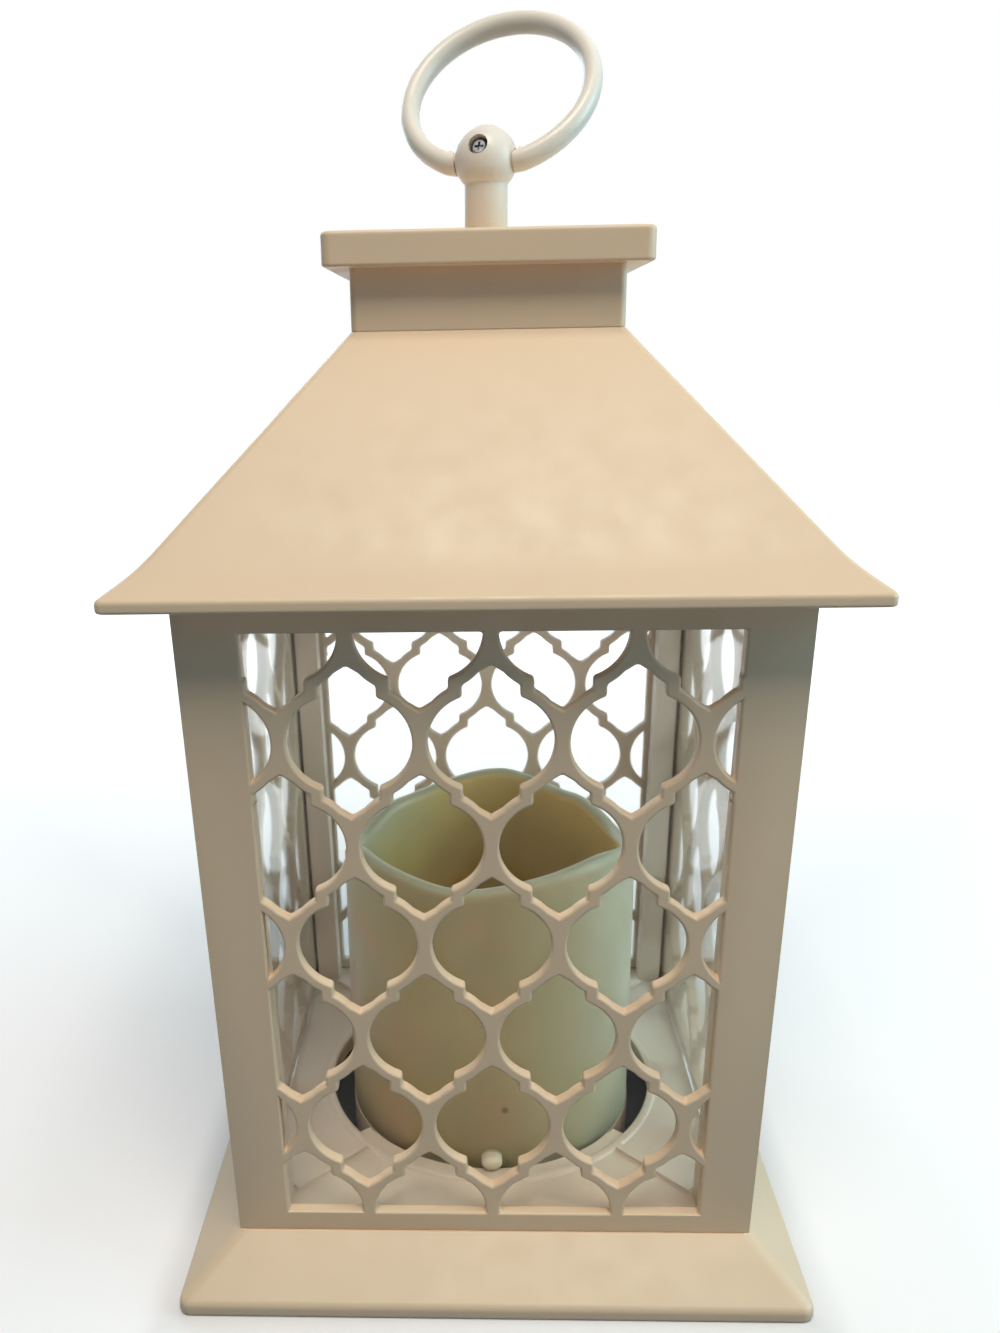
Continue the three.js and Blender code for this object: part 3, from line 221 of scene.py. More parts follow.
class LANTERN_PG_stage(bpy.types.PropertyGroup):
    """Camera, lamps and floor"""

    eye: FloatVectorProperty(
        name="Eye",
        description="Place of the camera",
        default=(-0.00257, -0.2937, 0.22184),
        subtype="TRANSLATION",
    )
    yaw: turn("Yaw", 2.138, "Turn of the camera about the upright axis")
    pitch: turn("Pitch", 17.146, "Angle by which the camera looks down")
    roll: turn("Roll", -1.031, "Turn of the camera about its own axis")
    lens: amount("Lens", 30.943, "Focal length in millimetres")
    shift_x: amount("Shift X", 0.0466, "Sideways shift of the picture", -1)
    shift_y: amount("Shift Y", 0.0259, "Upward shift of the picture", -1)
    key: amount("Key", 8.0, "Power of the lamp overhead in watts")
    side: amount("Side", 4.8, "Power of the cool lamp at the right in watts")
    rear: amount("Rear", 3.5, "Power of the cool lamp behind in watts")
    sky: amount("Sky", 0.15, "Strength of the light from all round")
    floor: colour("Floor", (0.89, 0.82, 0.81), "Colour of the floor as it is seen")
    bounce: colour("Floor bounce", (0.13, 0.18, 0.22), "Colour of the light that the floor throws back")
    lift: amount("Floor lift", 0.24, "Glow that takes the seen floor to white")


# Meshes

def mesh_piece(name, bm):
    """Turns a bmesh into a linked object with merged corners and faces that point out"""
    bmesh.ops.remove_doubles(bm, verts=bm.verts, dist=1e-7)
    bmesh.ops.recalc_face_normals(bm, faces=bm.faces)
    mesh = bpy.data.meshes.new(name)
    bm.to_mesh(mesh)
    bm.free()
    piece = bpy.data.objects.new(name, mesh)
    bpy.context.scene.collection.objects.link(piece)
    return piece


def skin(bm, rings, closed=False):
    """Faces between rings of points; closed joins the last ring to the first, otherwise both are capped"""
    rows = [[bm.verts.new(point) for point in ring] for ring in rings]
    count = len(rows[0])
    pairs = list(zip(rows, rows[1:]))
    if closed:
        pairs.append((rows[-1], rows[0]))
    for low, high in pairs:
        for i in range(count):
            j = (i + 1) % count
            bm.faces.new((low[i], low[j], high[j], high[i]))
    if not closed:
        bm.faces.new(rows[0])
        bm.faces.new(rows[-1])


def skinned(name, rings, closed=False):
    """A piece made of faces between rings of points"""
    bm = bmesh.new()
    skin(bm, rings, closed)
    return mesh_piece(name, bm)


def spin(angle, axis):
    """A turn about one of the axes"""
    return Matrix.Rotation(angle, 4, axis)


def angles(count):
    """Angles of a whole turn in equal steps"""
    return [2 * math.pi * i / count for i in range(count)]


def run(start, end, count):
    """Values in equal steps from the start, which is left out, to the end"""
    return [start + (end - start) * k / count for k in range(1, count + 1)]


def arc(cx, cy, radius, start, end, steps):
    """Points of an arc, both ends included"""
    return [
        (cx + radius * math.cos(angle), cy + radius * math.sin(angle))
        for angle in [start, *run(start, end, steps)]
    ]


def square_ring(half, radius, z, steps):
    """Points of a rounded square in plan; a radius equal to half gives a circle"""
    points = []
    for corner in range(4):
        start = corner * QUARTER
        cx = (half - radius) * (1 if corner in (0, 3) else -1)
        cy = (half - radius) * (1 if corner < 2 else -1)
        points += [(x, y, z) for x, y in arc(cx, cy, radius, start, start + QUARTER, steps)]
    return points


def square_turned(name, profile, steps):
    """A closed shell whose profile of (half width, corner radius, height) runs round a square"""
    return skinned(name, [square_ring(half, radius, z, steps) for half, radius, z in profile], closed=True)


def turned(name, profile, sides):
    """A turned piece from a profile of (radius, height), which starts and ends on the axis or is a hoop"""
    circle = [(math.cos(angle), math.sin(angle)) for angle in angles(sides)]
    bm = bmesh.new()
    skin(bm, [[(radius * x, radius * y, z) for x, y in circle] for radius, z in profile], profile[0][0] > 0)
    bmesh.ops.remove_doubles(bm, verts=bm.verts, dist=1e-7)
    bmesh.ops.dissolve_degenerate(bm, edges=bm.edges, dist=1e-8)
    return mesh_piece(name, bm)


def rod(name, radius, start, end, sides=32):
    """A round rod along the Z axis"""
    return turned(name, [(0, start), (radius, start), (radius, end), (0, end)], sides)


def swept(name, route, radius, sides=16):
    """A round tube along a route of points"""
    rings = []
    for i, point in enumerate(route):
        ahead = route[min(i + 1, len(route) - 1)] - route[max(i - 1, 0)]
        ahead.normalize()
        across = ahead.cross(Vector((0, 1, 0))).normalized()
        up = across.cross(ahead)
        rings.append([point + radius * (math.cos(a) * across + math.sin(a) * up) for a in angles(sides)])
    return skinned(name, rings)


def prism(bm, outline, low, high, matrix=Matrix()):
    """An extruded outline from low to high, added to a bmesh"""
    skin(bm, [[matrix @ Vector((x, y, z)) for x, y in outline] for z in (low, high)])


def block(name, low, high, rounding=0.0):
    """A box between two corners, with all its edges rounded"""
    bm = bmesh.new()
    prism(bm, [(low[0], low[1]), (high[0], low[1]), (high[0], high[1]), (low[0], high[1])], low[2], high[2])
    if rounding:
        bmesh.ops.recalc_face_normals(bm, faces=bm.faces)
        bmesh.ops.bevel(bm, geom=list(bm.edges), offset=rounding, segments=3, profile=0.5, affect="EDGES")
    return mesh_piece(name, bm)


def baked(piece):
    """Gives a piece the mesh that its modifiers make, and takes them off"""
    graph = bpy.context.evaluated_depsgraph_get()
    mesh = bpy.data.meshes.new_from_object(piece.evaluated_get(graph))
    piece.modifiers.clear()
    piece.data = mesh


def carve(piece, tool, operation="DIFFERENCE"):
    """Cuts a piece with a tool, or joins the tool to it, and deletes the tool"""
    change = piece.modifiers.new("carve", "BOOLEAN")
    change.operation = operation
    change.solver = "EXACT"
    change.object = tool
    baked(piece)
    bpy.data.objects.remove(tool)


def copied(source, name, matrix):
    """A copy of a piece with its mesh moved by a matrix"""
    piece = bpy.data.objects.new(name, source.data.copy())
    piece.data.transform(matrix)
    bpy.context.scene.collection.objects.link(piece)
    return piece


def round_edges(piece, width, segments, **limits):
    """Smooth shading, and a bevel on the edges that the limits choose"""
    piece.data.shade_smooth()
    bevel = piece.modifiers.new("round edges", "BEVEL")
    bevel.width = width
    bevel.segments = segments
    for name, value in limits.items():
        setattr(bevel, name, value)


def even(piece):
    """Weights the normals by face area, so that flat faces stay flat"""
    normals = piece.modifiers.new("even normals", "WEIGHTED_NORMAL")
    normals.keep_sharp = True
    normals.weight = 80


def soften(piece, width, angle=35):
    """Rounds a piece's hard edges"""
    round_edges(piece, width, 2, limit_method="ANGLE", angle_limit=math.radians(angle))
    even(piece)


def shade(piece, angle=40):
    """Smooth shading that breaks at edges sharper than the angle"""
    piece.data.shade_smooth()
    piece.data.set_sharp_from_angle(angle=math.radians(angle))


def dress(piece, finish):
    """Gives a piece one of the materials that the finishes operator made"""
    piece.data.materials.clear()
    piece.data.materials.append(bpy.data.materials[finish])


def fit(piece, body, finish, *nodes):
    """Dresses a new piece, joins it to the body that carries it and hides the nodes that it replaces"""
    dress(piece, finish)
    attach(piece, body)
    if nodes:
        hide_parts(*nodes)


def refinish(finish, rounding, *nodes):
    """Gives carried-over nodes their material and soft edges"""
    for node in nodes:
        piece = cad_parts[node]
        dress(piece, finish)
        soften(piece, rounding)


# Materials

def new_material(name):
    """The node tree, the principled shader and the object coordinates of a new material"""
    material = bpy.data.materials.get(name)
    if material:
        bpy.data.materials.remove(material)
    material = bpy.data.materials.new(name)
    material.use_nodes = True
    tree = material.node_tree
    return tree, tree.nodes["Principled BSDF"], tree.nodes.new("ShaderNodeTexCoord").outputs["Object"]


def feed(tree, socket, value):
    """Links a socket to another one, or sets its value"""
    if isinstance(value, bpy.types.NodeSocket):
        tree.links.new(value, socket)
    else:
        socket.default_value = value


def fill(tree, node, **values):
    """Sets or links some of a node's inputs, by input name with underscores for spaces"""
    for key, value in values.items():
        feed(tree, node.inputs[key.replace("_", " ")], value)
    return node


def put(tree, kind, **values):
    """A new node with some of its inputs set or linked"""
    return fill(tree, tree.nodes.new(kind), **values)


def number(tree, operation, first, second):
    """Result of a maths node"""
    node = tree.nodes.new("ShaderNodeMath")
    node.operation = operation
    feed(tree, node.inputs[0], first)
    feed(tree, node.inputs[1], second)
    return node.outputs[0]


def vector(tree, operation, *operands):
    """Result of a vector maths node, which is a number for a length or a distance"""
    node = tree.nodes.new("ShaderNodeVectorMath")
    node.operation = operation
    for socket, operand in zip(node.inputs, operands):
        feed(tree, socket, operand)
    return node.outputs["Value" if operation in ("LENGTH", "DISTANCE") else "Vector"]


def parts_of(tree, place):
    """The X, Y and Z outputs of a vector"""
    return put(tree, "ShaderNodeSeparateXYZ", Vector=place).outputs


def ramp(tree, factor, stops):
    """A colour ramp over a factor, with stops of (position, colour)"""
    node = tree.nodes.new("ShaderNodeValToRGB")
    tree.links.new(factor, node.inputs["Fac"])
    elements = node.color_ramp.elements
    while len(elements) < len(stops):
        elements.new(1.0)
    for element, (position, value) in zip(elements, stops):
        element.position = position
        element.color = (*value, 1)
    return node.outputs["Color"]


def tinted(value, factor):
    """A colour made lighter or darker"""
    return tuple(min(1.0, channel * factor) for channel in value)


def shades(tree, factor, base, dark, light):
    """A colour that a factor takes from a darker to a lighter shade of itself"""
    return ramp(tree, factor, [(0.3, tinted(base, dark)), (0.7, tinted(base, light))])


def speckle(tree, place, scale, detail=3.0, roughness=0.5):
    """Noise over the surface, as a factor"""
    node = put(tree, "ShaderNodeTexNoise", Vector=place, Scale=scale, Detail=detail, Roughness=roughness)
    return node.outputs["Fac"]


def relief(tree, shader, heights):
    """Bumps from several (factor, distance, strength) on top of each other"""
    normal = None
    for factor, distance, strength in heights:
        bump = put(tree, "ShaderNodeBump", Height=factor, Distance=distance, Strength=strength)
        if normal:
            tree.links.new(normal, bump.inputs["Normal"])
        normal = bump.outputs["Normal"]
    tree.links.new(normal, shader.inputs["Normal"])


def ranged(tree, value, start, end, low=0.0, high=1.0):
    """Low where the value is under the start, and high where it is over the end"""
    node = put(tree, "ShaderNodeMapRange", Value=value, From_Min=start, From_Max=end, To_Min=low, To_Max=high)
    return node.outputs["Result"]


def spread(tree, noise_factor, low, high):
    """Maps the middle of a noise's range to values from low to high"""
    return ranged(tree, noise_factor, 0.3, 0.7, low, high)


def blend(tree, factor, first, second):
    """A colour between two colours, which are values or sockets"""
    node = tree.nodes.new("ShaderNodeMix")
    node.data_type = "RGBA"
    tree.links.new(factor, node.inputs["Factor"])
    for socket, value in ((node.inputs[6], first), (node.inputs[7], second)):
        feed(tree, socket, value if isinstance(value, bpy.types.NodeSocket) else (*value, 1))
    return node.outputs[2]


def end_in_mix(tree, factor, first, second, end="Material Output"):
    """Ends a node tree in a mix of two shader nodes"""
    mix = tree.nodes.new("ShaderNodeMixShader")
    for socket, output in zip(mix.inputs, (factor, first.outputs[0], second.outputs[0])):
        tree.links.new(output, socket)
    tree.links.new(mix.outputs[0], tree.nodes[end].inputs["Surface"])


def moulded_plastic(name, base, gloss):
    """Satin injection-moulded plastic: faint flow mottling, fine grain and slight sink marks"""
    tree, shader, place = new_material(name)
    mottle = speckle(tree, place, 26, 4)
    fill(
        tree,
        shader,
        Base_Color=ramp(tree, mottle, [(0.25, tinted(base, 0.97)), (0.5, base), (0.78, tinted(base, 1.02))]),
        Roughness=spread(tree, speckle(tree, place, 140, 2), gloss - 0.05, gloss + 0.08),
        IOR=1.49,
        Subsurface_Weight=0.06,
        Subsurface_Radius=(1.0, 0.6, 0.4),
        Subsurface_Scale=2 * MM,
    )
    sinks = speckle(tree, place, 38, 1)
    grain = speckle(tree, place, 2600, 2)
    relief(tree, shader, [(sinks, 0.6 * MM, 0.04), (grain, 0.06 * MM, 0.25)])


def clear_sheet(name):
    """Clear sheet that lets lamp light through, with faint scuffs"""
    tree, shader, place = new_material(name)
    fill(
        tree,
        shader,
        Base_Color=(0.98, 0.985, 0.98, 1),
        Roughness=spread(tree, speckle(tree, place, 420, 4, 0.7), 0.02, 0.09),
        Transmission_Weight=1,
        IOR=1.2,
    )
    relief(tree, shader, [(speckle(tree, place, 30, 1), 0.3 * MM, 0.1)])
    passing = put(tree, "ShaderNodeBsdfTransparent", Color=(0.96, 0.965, 0.96, 1))
    rays = tree.nodes.new("ShaderNodeLightPath")
    end_in_mix(tree, rays.outputs["Is Shadow Ray"], shader, passing)


# Place of a small dark scuff on the front of the candle
SCUFF = (3.5 * MM, -40 * MM, 32.1 * MM)


def wax(name, tones, candle):
    """Translucent wax-like plastic: golden in the hollow, a pale rim with a painted glow of light through the
    thin wax, warm patches on the side, and painted cool light from the right on the right side and the
    hollow's upper left
    """
    tree, shader, place = new_material(name)
    x, _, z = parts_of(tree, place)
    clouds = speckle(tree, place, 34, 4, 0.55)
    ivory = tuple(tones.wax)
    side = ramp(tree, clouds, [(0.3, tinted(ivory, 0.9)), (0.55, ivory), (0.75, tinted(ivory, 1.12))])
    patches = ranged(tree, speckle(tree, place, 52, 2, 0.4), 0.52, 0.72)
    side = blend(tree, patches, side, tones.wax_warm)
    # Painted light: the side turns pale green towards the right, standing in for the cool lamp light from
    # that side
    side = blend(tree, ranged(tree, x, 2 * MM, 38 * MM), side, tones.wax_painted_light)
    off_scuff = ranged(tree, vector(tree, "DISTANCE", place, SCUFF), 0.5 * MM, 1.3 * MM)
    side = blend(tree, off_scuff, tinted(ivory, 0.45), side)
    inside = shades(tree, clouds, tuple(tones.wax_inside), 0.85, 1.15)
    # Painted light: the hollow's upper left, which faces the right, turns pale green like the cool light from
    # the right
    left = ranged(tree, x, -12 * MM, -34 * MM)
    upper = ranged(tree, z, 74 * MM, 90 * MM)
    inside = blend(tree, number(tree, "MULTIPLY", left, upper), inside, tones.wax_painted_light)
    reach = vector(tree, "LENGTH", vector(tree, "MULTIPLY", place, (1, 1, 0)))
    outer = candle.radius
    inner = candle.radius - candle.rim_wall
    # Painted glow: the rim's top is pale green, standing in for light shining through the thin wax
    whole = blend(tree, ranged(tree, reach, outer - 1.2 * MM, outer - 0.3 * MM), tones.wax_rim_painted_glow, side)
    whole = blend(tree, ranged(tree, reach, inner + 0.1 * MM, inner + 1 * MM), inside, whole)
    whole = blend(tree, ranged(tree, reach, outer + 0.2 * MM, outer + 1.2 * MM), whole, tones.wax_pip)
    fill(
        tree,
        shader,
        Base_Color=whole,
        Roughness=spread(tree, clouds, 0.3, 0.45),
        IOR=1.44,
        Subsurface_Weight=0.5,
        Subsurface_Radius=(1.0, 0.8, 0.45),
        Subsurface_Scale=6 * MM,
    )
    relief(tree, shader, [(clouds, 1.2 * MM, 0.2), (speckle(tree, place, 900, 2), 0.1 * MM, 0.2)])


def plated_steel(name, base):
    """Zinc-plated steel with fine scratches"""
    tree, shader, place = new_material(name)
    patches = speckle(tree, place, 500, 4)
    fill(
        tree,
        shader,
        Base_Color=shades(tree, patches, base, 0.8, 1.2),
        Roughness=spread(tree, patches, 0.22, 0.42),
        Metallic=1,
    )
    relief(tree, shader, [(speckle(tree, place, 3000, 2), 0.03 * MM, 0.3)])


def lens_plastic(name, base):
    """Tinted clear plastic"""
    tree, shader, place = new_material(name)
    clouds = speckle(tree, place, 300, 2)
    fill(
        tree,
        shader,
        Base_Color=shades(tree, clouds, base, 0.9, 1.1),
        Roughness=0.12,
        Transmission_Weight=0.7,
        IOR=1.5,
    )
    relief(tree, shader, [(clouds, 0.1 * MM, 0.1)])


def board_mask(name, base):
    """Solder mask over traces that show as lighter lines, with a few bare copper spots"""
    tree, shader, place = new_material(name)
    traces = put(tree, "ShaderNodeTexVoronoi", Vector=place, Scale=260)
    traces.distance = "CHEBYCHEV"
    height = traces.outputs["Distance"]
    line = tinted(base, 1.9)
    copper = (0.6, 0.45, 0.2)
    tones = ramp(tree, height, [(0.3, base), (0.36, line), (0.44, line), (0.5, base), (0.97, copper)])
    fill(tree, shader, Base_Color=tones, Roughness=0.35)
    relief(tree, shader, [(height, 0.05 * MM, 0.3)])


def battery_wrap(name, base):
    """A shrink wrap with a plain light band round it, over bright metal ends"""
    tree, shader, place = new_material(name)
    half_length = 22.5 * MM
    metal = (0.5, 0.5, 0.5)
    band = (0.62, 0.36, 0.16)
    along = ranged(tree, parts_of(tree, place)["Y"], -half_length, half_length)
    stops = [(0.0, metal), (0.035, base), (0.62, base), (0.64, band), (0.95, band), (0.965, metal)]
    streaks = speckle(tree, place, 700, 3)
    fill(
        tree,
        shader,
        Base_Color=ramp(tree, along, stops),
        Roughness=spread(tree, streaks, 0.25, 0.4),
        Metallic=0.6,
    )
    relief(tree, shader, [(streaks, 0.04 * MM, 0.2)])


class LANTERN_OT_finishes(bpy.types.Operator):
    """Make the materials of all pieces"""

    bl_idname = "lantern.finishes"
    bl_label = "Make finishes"

    def execute(self, context):
        tones = context.scene.lantern_finish
        for name, base, gloss in (
            ("warm white plastic", tones.white, 0.42),
            ("pale plastic", tones.pale, 0.3),
            # The inner pieces' plastic is the white plastic with painted shade and cool light
            ("cool white plastic", tones.inner, 0.5),
            ("black plastic", tones.black, 0.45),
            ("red insulation", tones.red, 0.4),
        ):
            moulded_plastic(name, tuple(base), gloss)
        wax("wax-like plastic", tones, context.scene.lantern_candle)
        clear_sheet("clear sheet")
        plated_steel("plated steel", tuple(tones.steel))
        lens_plastic("amber lens", tuple(tones.amber))
        board_mask("board mask", tuple(tones.board))
        battery_wrap("battery wrap", tuple(tones.wrap))
        return {"FINISHED"}


# Walls

def wall_lean(walls):
    """Angle by which the walls lean outwards"""
    return math.atan((walls.top_width - walls.foot_width) / 2 / (walls.top_z - walls.foot_z))


def wall_half(walls, z):
    """Half the width across the walls' outer faces at a height"""
    return walls.foot_width / 2 + math.tan(wall_lean(walls)) * (z - walls.foot_z)


def cell_outline(walls):
    """One lattice cell: two side lobes, and shoulders that follow the next cells' lobes"""
    lobe_x = walls.pitch / 2 - walls.neck / 2 - walls.lobe
    next_x = walls.pitch / 2 - lobe_x
    radius = walls.lobe + walls.strap
    lobe_end = math.acos((walls.jog - lobe_x) / walls.lobe)
    start = math.acos((walls.jog - next_x) / radius)
    shoulder_x = next_x - math.sqrt(radius**2 - (walls.row_rise - walls.shoulder) ** 2)
    end = math.acos((shoulder_x - next_x) / radius)
    quarter = arc(lobe_x, 0, walls.lobe, 0, lobe_end, walls.arc_steps)
    quarter += arc(next_x, walls.row_rise, radius, -start, -end, walls.arc_steps // 2)
    upper_left = [(-x, y) for x, y in reversed(quarter)]
    upper = [*quarter, (0, walls.point), *upper_left]
    lower = [(x, -y) for x, y in reversed(upper)]
    return upper + lower[1:-1]


def cell_places(walls):
    """Middles of the cells, as (x, height above the walls' foot)"""
    rows = math.ceil((walls.window_top - walls.first_row) / walls.row_rise) + 1
    columns = math.ceil(walls.top_width / 2 / walls.pitch)
    places = []
    for row in range(-1, rows):
        stagger = 0.5 if row % 2 == 0 else 0
        for column in range(-columns, columns + 1):
            height = walls.first_row - walls.foot_z + row * walls.row_rise
            places.append(((column + stagger) * walls.pitch, height))
    return places


def window_outline(walls):
    """Corners of the pierced part of a wall, in the wall's own plane"""
    foot = wall_half(walls, walls.window_foot) - walls.stile_foot
    top = wall_half(walls, walls.window_top) - walls.stile_top
    low = walls.window_foot - walls.foot_z
    high = walls.window_top - walls.foot_z
    return [(-foot, low), (foot, low), (top, high), (-top, high)]


def front_panel(walls):
    """The front wall: a mitred plate pierced by the lattice cells"""
    inset = walls.thickness / math.cos(wall_lean(walls))
    rings = []
    for z in (walls.foot_z, walls.top_z):
        outer = wall_half(walls, z)
        inner = outer - inset
        wide, narrow = outer - walls.mitre, inner - walls.mitre
        rings.append([(-wide, -outer, z), (wide, -outer, z), (narrow, -inner, z), (-narrow, -inner, z)])
    panel = skinned("panel", rings)
    stand = Matrix.Translation((0, -walls.foot_width / 2, walls.foot_z))
    stand @= spin(QUARTER + wall_lean(walls), "X")
    depth = 3 * walls.thickness
    bm = bmesh.new()
    outline = cell_outline(walls)
    for x, y in cell_places(walls):
        prism(bm, [(x + u, y + v) for u, v in outline], -depth, depth / 2, stand)
    cells = mesh_piece("cells", bm)
    bm = bmesh.new()
    prism(bm, window_outline(walls), -depth, depth, stand)
    carve(cells, mesh_piece("window", bm), "INTERSECT")
    carve(panel, cells)
    mark_soft_edges(panel, walls.mitre)
    return panel


def mark_soft_edges(panel, mitre):
    """Marks the hard edges for rounding, apart from the mitred ones, where two walls meet"""
    bm = bmesh.new()
    bm.from_mesh(panel.data)
    bmesh.ops.dissolve_limit(bm, angle_limit=0.002, verts=bm.verts, edges=bm.edges)
    weight = bm.edges.layers.float.new("bevel_weight_edge")
    near = 0.05 * MM
    hard_angle = math.radians(32)
    for edge in bm.edges:
        on_mitre = all(abs(abs(v.co.x) + mitre - abs(v.co.y)) < near for v in edge.verts)
        hard = edge.is_manifold and edge.calc_face_angle(0) > hard_angle
        edge[weight] = 1.0 if hard and not on_mitre else 0.0
    bm.to_mesh(panel.data)
    bm.free()


class LANTERN_OT_walls(bpy.types.Operator):
    """Make the four lattice walls and dress the clear panes behind them"""

    bl_idname = "lantern.walls"
    bl_label = "Make walls"

    def execute(self, context):
        walls = context.scene.lantern_walls
        panel = front_panel(walls)
        round_edges(panel, walls.edge, 3, limit_method="WEIGHT", use_clamp_overlap=False)
        baked(panel)
        for i, side in enumerate(SIDES):
            wall = copied(panel, f"moulded_wall_{side}", spin(i * QUARTER, "Z"))
            even(wall)
            fit(wall, "lantern", "warm white plastic", f"lattice_panel_{side}")
            refinish("clear sheet", 0.15 * MM, f"clear_pane_{side}")
        bpy.data.objects.remove(panel)
        return {"FINISHED"}


# Roof, neck and cap

# Most of a side's length that the rounding at one of its ends takes
CORNER_SHARE = 0.49


def rounded_profile(points, radii, corner, steps=4):
    """Replaces the corners of a closed profile of (half, z) by arcs, and adds the plan corner radius"""
    result = []
    for i, (half, z) in enumerate(points):
        here = Vector((half, z))
        before = Vector(points[i - 1]) - here
        after = Vector(points[(i + 1) % len(points)]) - here
        reach = min(radii[i], before.length * CORNER_SHARE, after.length * CORNER_SHARE)
        if reach <= 0:
            result.append((half, z))
            continue
        start = here + before.normalized() * reach
        end = here + after.normalized() * reach
        for k in range(steps + 1):
            t = k / steps
            result.append(start * (1 - t) ** 2 + here * (2 * t * (1 - t)) + end * t**2)
    return [(half, min(corner, half * 0.9), z) for half, z in result]


def roof_piece(roof, walls):
    """Hollow pyramid with flared eaves and a web under them that rests on the walls"""
    eave = roof.eave_width / 2
    top = roof.neck_size / 2
    straight = roof.straight_width / 2
    foot = walls.top_z
    drop = roof.wall * math.sqrt(2)
    well = top - roof.lip
    web_width = 11 * MM
    web = wall_half(walls, foot) - walls.thickness - web_width
    web_top = foot + 1.2 * MM
    points = [
        (well, roof.top_z), (top, roof.top_z), (straight, roof.straight_z),
        (eave, foot + roof.eave_edge), (eave, foot), (web, foot), (web, web_top),
        (eave - 2 * roof.wall, web_top), (straight - roof.wall / 2, roof.straight_z - drop),
        (top - roof.wall / 2, roof.top_z - drop), (well, roof.top_z - drop),
    ]
    flare = 7 * MM
    edge = 0.8 * MM
    radii = [0, 0, flare, edge, edge] + [0] * 6
    return square_turned("moulded_roof", rounded_profile(points, radii, roof.hip, 6), 8)


def neck_piece(roof):
    """Square tube on the roof, with a spigot that drops into the roof's well"""
    half = roof.neck_size / 2
    wall = roof.wall
    spigot = half - roof.lip - GAP
    spigot_foot = roof.top_z - 4 * MM
    points = [
        (half, roof.top_z), (half, roof.cap_foot), (half - wall, roof.cap_foot),
        (half - wall, roof.top_z + wall), (spigot - wall, roof.top_z + wall),
        (spigot - wall, spigot_foot), (spigot, spigot_foot), (spigot, roof.top_z),
    ]
    radii = [0.35 * MM] + [0] * 7
    return square_turned("moulded_neck", rounded_profile(points, radii, roof.hip), 8)


def cap_piece(roof, ring):
    """Square lid with a soft upper edge, a lip inside the neck and a round hole for the finial"""
    half = roof.cap_size / 2
    top = roof.cap_foot + roof.cap_height
    plate_foot = top - roof.cap_plate
    lip = roof.neck_size / 2 - roof.wall - GAP
    lip_foot = roof.cap_foot - 3 * MM
    pocket = lip - roof.wall
    points = [
        (half, top), (half, roof.cap_foot), (lip, roof.cap_foot), (lip, lip_foot), (pocket, lip_foot),
        (pocket, plate_foot),
    ]
    radii = [roof.cap_edge, 0.7 * MM, 0, 0.4 * MM, 0.4 * MM, 0]
    profile = rounded_profile(points, radii, roof.cap_corner, 6)
    hole = ring.spigot + GAP
    profile += [(hole, hole, plate_foot), (hole, hole, top)]
    return square_turned("moulded_cap", profile, 10)


class LANTERN_OT_roof(bpy.types.Operator):
    """Make the roof, the neck and the cap"""

    bl_idname = "lantern.roof"
    bl_label = "Make roof"

    def execute(self, context):
        scene = context.scene
        for piece, node in (
            (roof_piece(scene.lantern_roof, scene.lantern_walls), "roof"),
            (neck_piece(scene.lantern_roof), "neck"),
            (cap_piece(scene.lantern_roof, scene.lantern_ring), "cap"),
        ):
            shade(piece, 50)
            even(piece)
            fit(piece, "lantern", "warm white plastic", node)
        return {"FINISHED"}


# Plinth and floor tray

def plinth_piece(base, walls):
    """Flared hollow skirt with a deck and a round opening"""
    half = base.width / 2
    ledge = walls.foot_width / 2 + base.ledge
    opening = base.opening + GAP
    deck_foot = walls.foot_z - base.deck
    points = [
        (ledge, walls.foot_z), (half, base.edge_height), (half, 0), (half - base.wall, 0),
        (half - base.wall, base.edge_height - base.edge_round), (ledge - base.wall / 2, deck_foot),
    ]
    radii = [0.3 * MM, 1.2 * MM, base.edge_round, 0.3 * MM, 0, 0]
    profile = rounded_profile(points, radii, base.corner, 6)
    profile += [(opening, opening, deck_foot), (opening, opening, walls.foot_z)]
    return square_turned("moulded_plinth", profile, 16)


def tray_piece(base, walls):
    """Floor plate with the candle opening, two lock tabs, a raised rim and four ribs"""
    half = wall_half(walls, walls.foot_z) - walls.thickness / math.cos(wall_lean(walls)) - GAP
    low = walls.foot_z
    high = low + base.tray
    raised = high + base.rib_height
    rim = base.opening + base.rib_width
    soft = 0.35 * MM
    corner = 0.5 * MM
    profile = [(half, corner, low), (half, corner, high)]
    for radius, z in (
        (rim + soft, high), (rim, high + soft), (rim, raised - soft), (rim - soft, raised),
        (base.opening + soft, raised), (base.opening, raised - soft), (base.opening, low),
    ):
        profile.append((radius, radius, z))
    tray = square_turned("moulded_tray", profile, 24)
    outer = base.opening + base.rib_width / 2
    sunk = 0.02 * MM
    for middle in (-QUARTER, QUARTER):
        start, end = middle - base.tab_angle, middle + base.tab_angle
        outline = arc(0, 0, outer, start, end, 40) + arc(0, 0, base.tab_radius, end, start, 40)
        bm = bmesh.new()
        prism(bm, outline, low + sunk, high - sunk)
        carve(tray, mesh_piece("tab", bm), "UNION")
    post_room = 8.8 * MM
    rib_end = (half - post_room) * math.sqrt(2)
    rib_low = (rim - soft, -base.rib_width / 2, high - base.rib_height)
    for k in range(4):
        rib = block("rib", rib_low, (rib_end, base.rib_width / 2, raised))
        rib.data.transform(spin((k + 0.5) * QUARTER, "Z"))
        carve(tray, rib, "UNION")
    return tray


